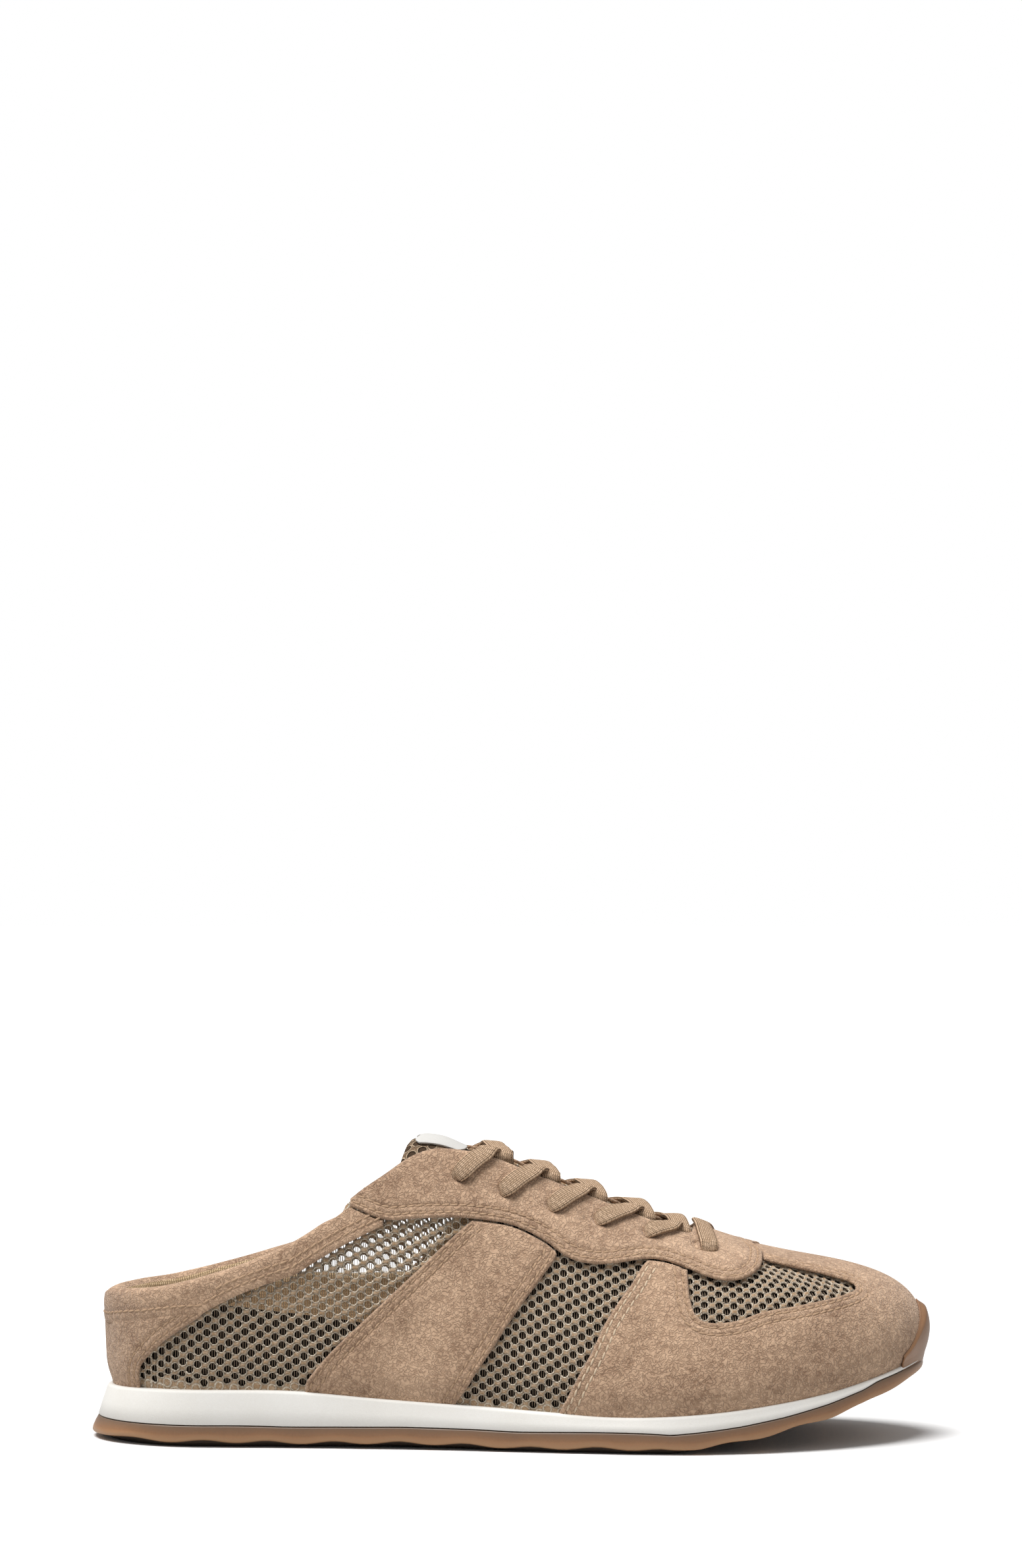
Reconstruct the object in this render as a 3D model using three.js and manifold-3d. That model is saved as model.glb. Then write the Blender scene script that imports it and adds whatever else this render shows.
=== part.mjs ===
// Right shoe of a pair of retro runner mules: suede overlays on an open mesh upper, a padded tongue,
// flat laces, a white foam midsole and a brown rubber outsole that turns up over the toe.
// Millimetres. X runs from heel to toe, lateral side at -Y, +Z up, the sole stands on Z = 0.
import * as THREE from 'three';
import { mergeVertices } from 'three/addons/utils/BufferGeometryUtils.js';
import Module from 'manifold-3d';

const wasm = await Module();
wasm.setup();

// Driving sizes of the last
const LENGTH = 268;            // outsole, heel to toe
const BALL_WIDTH = 91;         // last at the ball of the foot
const HEEL_STACK = 17.4;       // floor to feather line at the heel
const INSTEP_HEIGHT = 103;     // floor to the top of the closed last
const TOE_SPRING = 13;         // sole lift at nine tenths of the length
const HEEL_SET_BACK = 5.4;     // last behind the outsole's heel edge
const HEEL_TUCK = 1.8;         // further forward, at the very heel alone
const HEEL_TUCK_TO = 0.25;     // share of the lap where that has died out
const TOE_SET_BACK = 3.8;      // last behind the outsole's toe edge
const HEEL_EDGE = 2.1;         // outsole's rim past the midsole, round the heel
const TOE_SWING = 6;           // toe end of the last, towards the medial side
const HEEL_ROUND = 33;
const TOE_ROUND_LATERAL = 80;
const TOE_ROUND_MEDIAL = 64;
const HEEL_LEAN = 34;          // how far the closed last runs forward from its heel
const HEEL_LEAN_TO = 0.14;     // share of the length where that lean has died out
const TOE_LEAN = 48;           // how far the ridge stays behind the toe
const TOE_LEAN_FROM = 0.6;
const RIDGE_SWING = 5;         // ridge of the forefoot, towards the medial side
const RIDGE_SWING_FROM = 0.45;
const TUCK = 2;                // upper drawn in where it is lasted
const TUCK_HEIGHT = 9;
const HEEL_FLARE = 2;          // heel swells above the feather line, up to a quarter of the length
const CREST_ROUND = 0.15;      // softens the ridge of the closed last

// Walls and clearances
const MIDSOLE_EDGE = 0.9;      // foam left where it thins out at the toe
const WALL = 2;                // mesh body of the upper
const SUEDE = 1.25;            // overlay thickness
const GAP = 0.35;              // between pieces that lie on each other
const FACET = 0.02;            // slivers smaller than this are merged
const SEAM = 0.004;            // share of girth left between overlays that butt
const PADDING = 2.2;           // suede and foam folded over the collar's rim
const COLLAR_FOLD = 0.09;      // share of girth that the collar turns down inside
const TONGUE_THICK = 4;
const LABEL_THICK = 1;
const INSOLE_THICK = 4.5;
const BUMPER_THICK = 1.6;
const LUG_PITCH = 11;
const GROOVE_WIDTH = 3;
const GROOVE_DEPTH = 1.4;
const TREAD_INSET = 4;         // ground contact inside the midsole's foot
const GROOVE_INSET = 5;        // grooves end this far inside it
const SIDE_HEIGHT = 4.85;      // visible side of the outsole, bevelled off beneath
const BEVEL_LEAST = 0.4;
const LACE_WIDTH = 6.2;
const LACE_THICK = 1.7;
const EYELET_RADIUS = 2.2;

// Colours from the photograph
const FINISH = {
  mesh: { color: 0x8f7861, roughness: 0.9, metalness: 0 },
  suede: { color: 0xa58a70, roughness: 0.95, metalness: 0 },
  lace: { color: 0x97795d, roughness: 0.9, metalness: 0 },
  label: { color: 0xf2f0ec, roughness: 0.7, metalness: 0 },
  foam: { color: 0xefeeea, roughness: 0.6, metalness: 0 },
  rubber: { color: 0x7d5a3e, roughness: 0.5, metalness: 0 },
};

// Last outline: half widths at each share of its length, as shares of half the ball width
const OUTLINE = [
  { at: 0.00, lateral: 0.625, medial: 0.625 },
  { at: 0.12, lateral: 0.640, medial: 0.630 },
  { at: 0.26, lateral: 0.665, medial: 0.585 },
  { at: 0.40, lateral: 0.735, medial: 0.560 },
  { at: 0.54, lateral: 0.865, medial: 0.680 },
  { at: 0.67, lateral: 0.965, medial: 0.850 },
  { at: 0.78, lateral: 1.000, medial: 0.930 },
  { at: 1.00, lateral: 1.000, medial: 0.930 },
];
// Height of the feather line, where upper and midsole meet, as a share of the heel stack
const FEATHER = [
  { at: 0.00, rise: 0.955 },
  { at: 0.06, rise: 1.010 },
  { at: 0.15, rise: 1.030 },
  { at: 0.25, rise: 1.020 },
  { at: 0.35, rise: 0.908 },
  { at: 0.45, rise: 0.816 },
  { at: 0.55, rise: 0.724 },
  { at: 0.62, rise: 0.667 },
  { at: 0.70, rise: 0.701 },
  { at: 0.80, rise: 0.855 },
  { at: 0.88, rise: 1.060 },
  { at: 0.94, rise: 1.300 },
  { at: 1.00, rise: 1.590 },
];
// Top line of the closed last as a share of the instep height, and how square its section is
const RIDGE = [
  { at: 0.00, rise: 0.885, square: 3.40 },
  { at: 0.12, rise: 0.915, square: 3.00 },
  { at: 0.25, rise: 0.968, square: 2.30 },
  { at: 0.36, rise: 1.006, square: 1.85 },
  { at: 0.45, rise: 0.977, square: 1.70 },
  { at: 0.54, rise: 0.852, square: 1.70 },
  { at: 0.60, rise: 0.773, square: 1.70 },
  { at: 0.66, rise: 0.701, square: 1.80 },
  { at: 0.70, rise: 0.653, square: 1.92 },
  { at: 0.77, rise: 0.586, square: 2.25 },
  { at: 0.82, rise: 0.555, square: 2.55 },
  { at: 0.90, rise: 0.524, square: 3.00 },
  { at: 1.00, rise: 0.496, square: 3.50 },
];
// Sole section: underside lift as a share of the toe spring, then outsole thickness and how far the
// midsole's foot stands out past the last, both as shares of the heel stack
const SOLE = [
  { at: 0.00, lift: 0.00, tread: 0.385, foot: 0.293 },
  { at: 0.06, lift: 0.00, tread: 0.385, foot: 0.235 },
  { at: 0.13, lift: 0.00, tread: 0.385, foot: 0.180 },
  { at: 0.20, lift: 0.00, tread: 0.385, foot: 0.160 },
  { at: 0.24, lift: 0.01, tread: 0.365, foot: 0.155 },
  { at: 0.30, lift: 0.04, tread: 0.350, foot: 0.150 },
  { at: 0.38, lift: 0.06, tread: 0.350, foot: 0.145 },
  { at: 0.46, lift: 0.04, tread: 0.350, foot: 0.140 },
  { at: 0.51, lift: 0.00, tread: 0.355, foot: 0.135 },
  { at: 0.69, lift: 0.00, tread: 0.345, foot: 0.120 },
  { at: 0.73, lift: 0.16, tread: 0.290, foot: 0.115 },
  { at: 0.77, lift: 0.27, tread: 0.285, foot: 0.110 },
  { at: 0.82, lift: 0.49, tread: 0.265, foot: 0.100 },
  { at: 0.87, lift: 0.75, tread: 0.260, foot: 0.090 },
  { at: 0.91, lift: 1.00, tread: 0.275, foot: 0.080 },
  { at: 0.96, lift: 1.44, tread: 0.290, foot: 0.060 },
  { at: 1.00, lift: 1.84, tread: 0.100, foot: 0.040 },
];
// Open edge of the upper, as shares of girth from feather to ridge: collar first, then throat
const OPENING = [
  { at: 0.000, lateral: 0.134, medial: 0.134 },
  { at: 0.050, lateral: 0.143, medial: 0.141 },
  { at: 0.110, lateral: 0.152, medial: 0.148 },
  { at: 0.180, lateral: 0.172, medial: 0.164 },
  { at: 0.230, lateral: 0.207, medial: 0.196 },
  { at: 0.290, lateral: 0.283, medial: 0.264 },
  { at: 0.330, lateral: 0.362, medial: 0.328 },
  { at: 0.360, lateral: 0.448, medial: 0.405 },
  { at: 0.380, lateral: 0.518, medial: 0.475 },
  { at: 0.400, lateral: 0.580, medial: 0.548 },
  { at: 0.420, lateral: 0.650, medial: 0.630 },
  { at: 0.436, lateral: 0.688, medial: 0.680 },
  { at: 0.462, lateral: 0.712, medial: 0.712 },
  { at: 0.520, lateral: 0.760, medial: 0.760 },
  { at: 0.560, lateral: 0.783, medial: 0.783 },
  { at: 0.610, lateral: 0.793, medial: 0.793 },
  { at: 0.640, lateral: 0.800, medial: 0.800 },
  { at: 0.652, lateral: 0.840, medial: 0.840 },
  { at: 0.660, lateral: 1.000, medial: 1.000 },
];
const THROAT_END = 0.66;
// Lower edge of the eyestay, which is one piece round the front of the throat
const EYESTAY = [
  { at: 0.369, edge: 0.470 },
  { at: 0.402, edge: 0.443 },
  { at: 0.424, edge: 0.459 },
  { at: 0.452, edge: 0.480 },
  { at: 0.473, edge: 0.497 },
  { at: 0.508, edge: 0.522 },
  { at: 0.526, edge: 0.512 },
  { at: 0.541, edge: 0.488 },
  { at: 0.563, edge: 0.494 },
  { at: 0.588, edge: 0.534 },
  { at: 0.609, edge: 0.575 },
  { at: 0.624, edge: 0.587 },
  { at: 0.644, edge: 0.576 },
  { at: 0.669, edge: 0.548 },
  { at: 0.688, edge: 0.553 },
  { at: 0.711, edge: 0.612 },
  { at: 0.726, edge: 0.690 },
  { at: 0.738, edge: 0.790 },
  { at: 0.752, edge: 0.900 },
  { at: 0.762, edge: 1.000 },
];
// Collar band below the rim, with its pointed end under the eyestay's tail
const COLLAR = [
  { at: 0.000, low: 0.077 },
  { at: 0.060, low: 0.079 },
  { at: 0.150, low: 0.096 },
  { at: 0.231, low: 0.124 },
  { at: 0.269, low: 0.181 },
  { at: 0.325, low: 0.262 },
  { at: 0.354, low: 0.334 },
  { at: 0.369, low: 0.370 },
  { at: 0.400, low: 0.437 },
];
const COLLAR_TAIL = 0.366;
const COLLAR_TAPER = 0.7;      // share of the tail's distance where the padding begins to thin
// Heel counter below the collar band
const COUNTER = [
  { at: 0.000, low: 0.006 },
  { at: 0.136, low: 0.006 },
  { at: 0.142, low: 0.013 },
  { at: 0.161, low: 0.029 },
  { at: 0.203, low: 0.072 },
  { at: 0.229, low: 0.106 },
];
// Stripe across the quarter, leaning forward
const STRIPE = [
  { at: 0.335, low: 0.006, high: 0.014 },
  { at: 0.348, low: 0.006, high: 0.057 },
  { at: 0.388, low: 0.006, high: 0.192 },
  { at: 0.433, low: 0.006, high: 0.349 },
  { at: 0.457, low: 0.006, high: 0.440 },
  { at: 0.465, low: 0.047, high: 0.472 },
  { at: 0.475, low: 0.110, high: 0.494 },
  { at: 0.487, low: 0.177, high: 0.506 },
  { at: 0.503, low: 0.274, high: 0.516 },
  { at: 0.523, low: 0.394, high: 0.509 },
  { at: 0.534, low: 0.470, high: 0.496 },
];
// Toe cap: the open window lies between low and high from WINDOW_REAR to WINDOW_FRONT
const TOE_CAP = [
  { at: 0.539, low: 0.012, high: 0.022 },
  { at: 0.551, low: 0.080, high: 0.130 },
  { at: 0.562, low: 0.140, high: 0.215 },
  { at: 0.573, low: 0.210, high: 0.316 },
  { at: 0.585, low: 0.270, high: 0.400 },
  { at: 0.594, low: 0.310, high: 0.459 },
  { at: 0.603, low: 0.340, high: 0.540 },
  { at: 0.612, low: 0.355, high: 0.573 },
  { at: 0.648, low: 0.360, high: 0.570 },
  { at: 0.663, low: 0.340, high: 0.552 },
  { at: 0.688, low: 0.352, high: 0.547 },
  { at: 0.711, low: 0.386, high: 0.606 },
  { at: 0.726, low: 0.400, high: 0.683 },
  { at: 0.738, low: 0.406, high: 0.772 },
  { at: 0.762, low: 0.420, high: 0.756 },
  { at: 0.810, low: 0.458, high: 0.688 },
  { at: 0.838, low: 0.490, high: 0.628 },
  { at: 0.850, low: 0.525, high: 0.585 },
  { at: 0.920, low: 0.520, high: 0.600 },
  { at: 1.000, low: 0.520, high: 0.600 },
];
const WINDOW_REAR = 0.648;
const WINDOW_FRONT = 0.850;
// Rubber bumper round the toe, up from the outsole
const BUMPER = [
  { at: 0.900, top: 0.030 },
  { at: 0.910, top: 0.048 },
  { at: 0.920, top: 0.068 },
  { at: 0.935, top: 0.108 },
  { at: 0.960, top: 0.167 },
  { at: 0.980, top: 0.235 },
  { at: 1.000, top: 0.300 },
];
// Tongue: side edge as a share of girth, and depth of its crest below the closed last as a share
// of the instep height
const TONGUE = [
  { at: 0.424, edge: 0.52, depth: 0.088 },
  { at: 0.434, edge: 0.53, depth: 0.082 },
  { at: 0.445, edge: 0.54, depth: 0.082 },
  { at: 0.468, edge: 0.55, depth: 0.096 },
  { at: 0.490, edge: 0.56, depth: 0.084 },
  { at: 0.525, edge: 0.58, depth: 0.056 },
  { at: 0.560, edge: 0.61, depth: 0.038 },
  { at: 0.600, edge: 0.64, depth: 0.030 },
  { at: 0.640, edge: 0.68, depth: 0.029 },
  { at: 0.690, edge: 0.75, depth: 0.029 },
];
const LABEL_REAR = 0.427;
const LABEL_FRONT = 0.463;
const LABEL_EDGE = 0.78;
// Eyelets from the top pair down
const EYELETS = [
  { at: 0.459, girth: 0.616 },
  { at: 0.494, girth: 0.625 },
  { at: 0.531, girth: 0.650 },
  { at: 0.568, girth: 0.677 },
  { at: 0.609, girth: 0.704 },
  { at: 0.657, girth: 0.736 },
];

// Smooth value of a table's column at a share
function table(rows, column, share) {
  const last = rows.length - 1;
  const at = Math.min(Math.max(share, rows[0].at), rows[last].at);
  let k = 0;
  while (k < last - 1 && rows[k + 1].at < at) k += 1;
  const step = (i) => rows[i + 1].at - rows[i].at;
  const rate = (i) => (rows[i + 1][column] - rows[i][column]) / step(i);
  const slope = (i) => {
    if (i === 0) return rate(0);
    if (i === last) return rate(last - 1);
    return (rate(i - 1) * step(i) + rate(i) * step(i - 1)) / (step(i - 1) + step(i));
  };
  const h = step(k);
  const t = (at - rows[k].at) / h;
  const t2 = t * t;
  const t3 = t2 * t;
  return (2 * t3 - 3 * t2 + 1) * rows[k][column] + (t3 - 2 * t2 + t) * h * slope(k)
    + (3 * t2 - 2 * t3) * rows[k + 1][column] + (t3 - t2) * h * slope(k + 1);
}

// Straight value of a table's column, for edges that turn sharply
function edge(rows, column, share) {
  const last = rows.length - 1;
  const at = Math.min(Math.max(share, rows[0].at), rows[last].at);
  let k = 0;
  while (k < last - 1 && rows[k + 1].at < at) k += 1;
  const t = (at - rows[k].at) / (rows[k + 1].at - rows[k].at);
  return rows[k][column] + (rows[k + 1][column] - rows[k][column]) * t;
}

const clamp = (v, low, high) => Math.min(Math.max(v, low), high);
const ease = (v) => clamp(v, 0, 1) ** 2 * (3 - 2 * clamp(v, 0, 1));
const LAST_LENGTH = LENGTH - HEEL_SET_BACK - TOE_SET_BACK;
const LATERAL = -1;
const MEDIAL = 1;

// Last outline
const lastX = (along) => HEEL_SET_BACK + HEEL_TUCK * (1 - ease(along / HEEL_TUCK_TO))
  + LAST_LENGTH * (1 - Math.cos(Math.PI * along)) / 2;
const roundedEnd = (distance, radius) => Math.sqrt(Math.max(0, 1 - (1 - clamp(distance / radius, 0, 1)) ** 2));
function halfWidth(x, side) {
  const fromHeel = x - HEEL_SET_BACK - HEEL_TUCK;
  const fromToe = LENGTH - TOE_SET_BACK - x;
  const toeRound = side === LATERAL ? TOE_ROUND_LATERAL : TOE_ROUND_MEDIAL;
  const column = side === LATERAL ? 'lateral' : 'medial';
  const full = BALL_WIDTH / 2 * table(OUTLINE, column, fromHeel / LAST_LENGTH);
  return full * roundedEnd(fromHeel, HEEL_ROUND) * roundedEnd(fromToe, toeRound);
}
const centreLine = (x) => TOE_SWING * ease((x / LENGTH - TOE_LEAN_FROM) / (1 - TOE_LEAN_FROM));
const featherHeight = (x) => HEEL_STACK * table(FEATHER, 'rise', x / LENGTH);
const ridgeHeight = (x) => INSTEP_HEIGHT * table(RIDGE, 'rise', x / LENGTH);

// A lap runs 0 at the heel, 1 at the toe along the medial side, and 2 back at the heel along the lateral side.
function sideOf(lap) {
  const turn = ((lap % 2) + 2) % 2;
  return turn > 1 ? { side: LATERAL, along: 2 - turn } : { side: MEDIAL, along: turn };
}
const lapOf = (side, along) => (side === MEDIAL ? along : 2 - along);

// Point of the closed last at a lap and a share of girth, 0 at the feather and 1 on the ridge
function lastPoint(lap, girth) {
  if (girth > 1) return lastPoint(2 - lap, 2 - girth);
  const { side, along } = sideOf(lap);
  const x = lastX(along);
  const y = centreLine(x) + side * halfWidth(x, side);
  const z = featherHeight(x);
  const toeward = clamp((x / LENGTH - TOE_LEAN_FROM) / (1 - TOE_LEAN_FROM), 0, 1);
  const heelward = clamp(1 - x / LENGTH / HEEL_LEAN_TO, 0, 1);
  const dx = HEEL_LEAN * heelward ** 2 - TOE_LEAN * toeward ** 2;
  const dy = RIDGE_SWING * ease((x / LENGTH - RIDGE_SWING_FROM) / (1 - TOE_LEAN_FROM)) - y;
  const reach = Math.hypot(dx, dy);
  const square = table(RIDGE, 'square', x / LENGTH);
  const angle = clamp(girth, 0, 1) * Math.PI / 2;
  const open = Math.max(0, Math.cos(angle));
  const inward = 1 - open * ((open ** 2 + CREST_ROUND ** 2) / (1 + CREST_ROUND ** 2)) ** (1 / square - 0.5);
  const upward = Math.sin(angle) ** (2 / square);
  const height = (ridgeHeight(x + dx * inward) - z) * upward;
  const tuck = TUCK * (1 - clamp(height / TUCK_HEIGHT, 0, 1)) ** 2;
  const flare = HEEL_FLARE * clamp(1 - 4 * x / LENGTH, 0, 1) * clamp(height / HEEL_STACK / 2, 0, 1.2);
  const inset = reach * inward + tuck - flare;
  return new THREE.Vector3(x + dx / reach * inset, y + dy / reach * inset, z + height);
}

// The same point moved out along the last's normal. Below the feather the wall goes straight down.
function offsetPoint(lap, girth, distance) {
  if (girth < 0) {
    const foot = offsetPoint(lap, 0, distance);
    return foot.setZ(foot.z + girth * INSTEP_HEIGHT);
  }
  const e = 0.001;
  const { along } = sideOf(lap);
  const atPole = along < e || along > 1 - e;
  const g = atPole ? Math.min(girth, 0.98) : girth;
  const alongLap = lastPoint(lap + e, g).sub(lastPoint(lap - e, g));
  const alongGirth = lastPoint(lap, g + e).sub(lastPoint(lap, Math.max(g - e, 0)));
  const normal = alongGirth.cross(alongLap).normalize();
  return lastPoint(lap, girth).addScaledVector(normal, distance);
}

// Point of the last's outline moved out level by a distance, at a height
function outlinePoint(lap, out, z) {
  const e = 0.001;
  const a = lastPoint(lap - e, 0);
  const b = lastPoint(lap + e, 0);
  const normal = new THREE.Vector3(a.y - b.y, b.x - a.x, 0).normalize();
  const { side, along } = sideOf(lap);
  const x = lastX(along);
  return new THREE.Vector3(x + normal.x * out, centreLine(x) + side * halfWidth(x, side) + normal.y * out, z);
}

// A closed solid between two grids of points. Cells that are absent leave holes with walls round them.
// Faces that lie back to back, where a grid meets itself, cancel out.
function solidBetween(outer, inner, present = () => true) {
  const positions = [];
  const indexOf = new Map();
  const vertex = (p) => {
    const key = [p.x, p.y, p.z].map((v) => Math.round(v * 500)).join();
    if (!indexOf.has(key)) {
      indexOf.set(key, positions.length / 3);
      positions.push(p.x, p.y, p.z);
    }
    return indexOf.get(key);
  };
  const faces = new Map();
  const face = (a, b, c) => {
    if (a === b || b === c || c === a) return;
    const low = Math.min(a, b, c);
    const turned = low === a ? [a, b, c] : low === b ? [b, c, a] : [c, a, b];
    const opposite = [turned[0], turned[2], turned[1]].join();
    if (faces.has(opposite)) faces.delete(opposite);
    else faces.set(turned.join(), turned);
  };
  const quad = (a, b, c, d) => {
    const [i, j, k, l] = [a, b, c, d].map(vertex);
    const low = Math.min(i, j, k, l);
    if (low === i || low === k) {
      face(i, j, k);
      face(i, k, l);
    } else {
      face(j, k, l);
      face(j, l, i);
    }
  };
  const rows = outer.length - 1;
  const columns = outer[0].length - 1;
  const has = (i, j) => i >= 0 && j >= 0 && i < rows && j < columns && present(i, j);
  for (let i = 0; i < rows; i += 1) {
    for (let j = 0; j < columns; j += 1) {
      if (!has(i, j)) continue;
      quad(outer[i][j], outer[i + 1][j], outer[i + 1][j + 1], outer[i][j + 1]);
      quad(inner[i][j], inner[i][j + 1], inner[i + 1][j + 1], inner[i + 1][j]);
      if (!has(i - 1, j)) quad(outer[i][j], outer[i][j + 1], inner[i][j + 1], inner[i][j]);
      if (!has(i + 1, j)) quad(outer[i + 1][j + 1], outer[i + 1][j], inner[i + 1][j], inner[i + 1][j + 1]);
      if (!has(i, j - 1)) quad(outer[i + 1][j], outer[i][j], inner[i][j], inner[i + 1][j]);
      if (!has(i, j + 1)) quad(outer[i][j + 1], outer[i + 1][j + 1], inner[i + 1][j + 1], inner[i][j + 1]);
    }
  }
  const geometry = new THREE.BufferGeometry();
  geometry.setAttribute('position', new THREE.Float32BufferAttribute(positions, 3));
  geometry.setIndex([...faces.values()].flat());
  return outward(geometry);
}

// Faces turned so that the solid's volume is positive
function outward(geometry) {
  const p = geometry.attributes.position;
  const index = geometry.index.array;
  const [a, b, c] = [new THREE.Vector3(), new THREE.Vector3(), new THREE.Vector3()];
  let volume = 0;
  for (let f = 0; f < index.length; f += 3) {
    a.fromBufferAttribute(p, index[f]);
    b.fromBufferAttribute(p, index[f + 1]);
    c.fromBufferAttribute(p, index[f + 2]);
    volume += a.dot(b.cross(c));
  }
  if (volume < 0) geometry.setIndex(Array.from(index).reverse());
  return geometry;
}

// Solids for joining and cutting
function solid(geometry) {
  const bare = geometry.clone();
  bare.deleteAttribute('normal');
  bare.deleteAttribute('uv');
  const merged = mergeVertices(bare, 1e-4);
  return new wasm.Manifold(new wasm.Mesh({
    numProp: 3,
    vertProperties: new Float32Array(merged.attributes.position.array),
    triVerts: new Uint32Array(merged.index.array),
  }));
}
function geometryOf(manifold) {
  const mesh = manifold.simplify(FACET).getMesh();
  const geometry = new THREE.BufferGeometry();
  geometry.setAttribute('position', new THREE.Float32BufferAttribute(mesh.vertProperties, 3));
  geometry.setIndex(Array.from(mesh.triVerts));
  return geometry;
}

const shoe = new THREE.Group();
function piece(name, geometry, finish) {
  const mesh = new THREE.Mesh(geometry, new THREE.MeshStandardMaterial(FINISH[finish]));
  mesh.name = name;
  shoe.add(mesh);
}

// Evenly spaced shares from a to b with the marks among them kept exactly
function stations(a, b, pitch, marks = []) {
  const fixed = [a, ...marks.filter((m) => m > a && m < b), b].sort((m, n) => m - n);
  const list = [a];
  for (let k = 1; k < fixed.length; k += 1) {
    const span = fixed[k] - fixed[k - 1];
    const count = Math.max(1, Math.round(span / pitch));
    for (let n = 1; n <= count; n += 1) list.push(fixed[k - 1] + span * n / count);
  }
  return list;
}

const openEdge = (side, along) => {
  if (along >= THROAT_END) return 1;
  return Math.min(1, table(OPENING, side === LATERAL ? 'lateral' : 'medial', along));
};
const eyestayEdge = (along) => (along >= EYESTAY.at(-1).at ? 1 : Math.min(1, table(EYESTAY, 'edge', along)));

// The closed last as a solid, swollen or shrunk by a distance. All pieces of the upper are cut from such
// forms, so that their faces run parallel. A skirt carries an inner form out through the open underside.
const LAST_STATIONS = stations(0, 1, 0.037, [COLLAR_TAIL, 0.462, THROAT_END]);
const GIRTHS = [0, 0.05, 0.12, 0.24, 0.38, 0.53, 0.69, 0.85, 1];
const SKIRT = 4;
function lastForm(distance, skirt = 0) {
  const outer = LAST_STATIONS.map((along) => {
    const half = (side) => {
      const rise = GIRTHS.map((girth) => offsetPoint(lapOf(side, along), girth, distance));
      rise[0].setZ(Math.max(rise[0].z, featherHeight(lastX(along))));
      if (skirt > 0) rise.unshift(rise[0].clone().setZ(rise[0].z - skirt));
      return rise;
    };
    return [...half(LATERAL), ...half(MEDIAL).reverse().slice(1)];
  });
  const inner = outer.map((row) => row.map((_, j) => row[0].clone().lerp(row.at(-1), j / (row.length - 1))));
  return solid(solidBetween(outer, inner));
}
const wallBetween = (inside, outside) => lastForm(outside).subtract(lastForm(inside, SKIRT));
const bodyWall = wallBetween(-WALL, 0);
const suedeWall = wallBetween(GAP, GAP + SUEDE);

// What lies between two edges on both sides of the last, joined over the ridge where the upper edge is 1
const REGION_DEPTH = WALL + 2;
const REGION_HEIGHT = GAP + SUEDE + 2;
function region(shares, rowsOf, present = () => true) {
  const skin = (distance) => shares.map((along) => {
    const half = (side) => rowsOf(along, side).map((girth) => offsetPoint(lapOf(side, along), girth, distance));
    return [...half(LATERAL), ...half(MEDIAL).reverse()];
  });
  const width = rowsOf(shares[0], LATERAL).length;
  const fromFoot = (j) => (j < width ? j : 2 * width - 2 - j);
  return solid(solidBetween(skin(REGION_HEIGHT), skin(-REGION_DEPTH), (i, j) => {
    return j !== width - 1 && present(shares[i], fromFoot(j), j < width);
  }));
}
const spread = (low, high, cells) => Array.from({ length: cells + 1 }, (_, j) => low + (high - low) * j / cells);
const BELOW_FEATHER = -0.02;

// Holes for the laces, square to the last
function eyeletCutters() {
  const cutters = [];
  for (const side of [LATERAL, MEDIAL]) {
    for (const eyelet of EYELETS) {
      const lap = lapOf(side, eyelet.at);
      const from = offsetPoint(lap, eyelet.girth, -2 * WALL);
      const to = offsetPoint(lap, eyelet.girth, 2 * WALL);
      const cutter = new THREE.CylinderGeometry(EYELET_RADIUS, EYELET_RADIUS, from.distanceTo(to), 6);
      const turn = new THREE.Quaternion().setFromUnitVectors(
        new THREE.Vector3(0, 1, 0), to.clone().sub(from).normalize());
      cutter.applyQuaternion(turn);
      cutter.translate(...from.add(to).multiplyScalar(0.5).toArray());
      cutters.push(solid(cutter));
    }
  }
  return cutters.reduce((all, one) => all.add(one));
}
const eyeletHoles = eyeletCutters();

// Upper: one hollow wall, open at the collar, the throat and underneath
const rimClear = (along) => (along <= COLLAR_TAIL + 1e-6 ? 1.1 * (PADDING + GAP) / INSTEP_HEIGHT : 0);
const upperRegion = region(
  stations(0, 1, 0.035, [COLLAR_TAIL, 0.369, 0.4, 0.436, 0.462, 0.64, 0.652, THROAT_END]),
  (along, side) => [BELOW_FEATHER, ...spread(0, openEdge(side, along) - rimClear(along), 4)]);
piece('upper', geometryOf(bodyWall.intersect(upperRegion).subtract(eyeletHoles)), 'mesh');

// Eyestay: one piece from tail to tail round the throat
const eyestayRegion = region(
  stations(0.372, 0.762, 0.03, [0.402, 0.436, 0.462, 0.541, 0.64, 0.652, THROAT_END, 0.711, 0.726, 0.738, 0.752]),
  (along, side) => {
    const low = eyestayEdge(along);
    return spread(low, Math.max(openEdge(side, along), Math.min(1, low + SEAM)), 2);
  });
piece('eyestay', geometryOf(suedeWall.intersect(eyestayRegion).subtract(eyeletHoles)), 'suede');
const underEyestay = (along) => eyestayEdge(along - SEAM) - SEAM;

// Heel counter
const collarLow = (along) => edge(COLLAR, 'low', along);
const counterRegion = region(stations(0, 0.229, 0.035, [0.136, 0.142]), (along) => {
  const low = edge(COUNTER, 'low', along);
  return spread(low > COUNTER[0].low ? low : BELOW_FEATHER, collarLow(along) - SEAM, 1);
});
piece('heel_counter', geometryOf(suedeWall.intersect(counterRegion)), 'suede');

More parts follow.
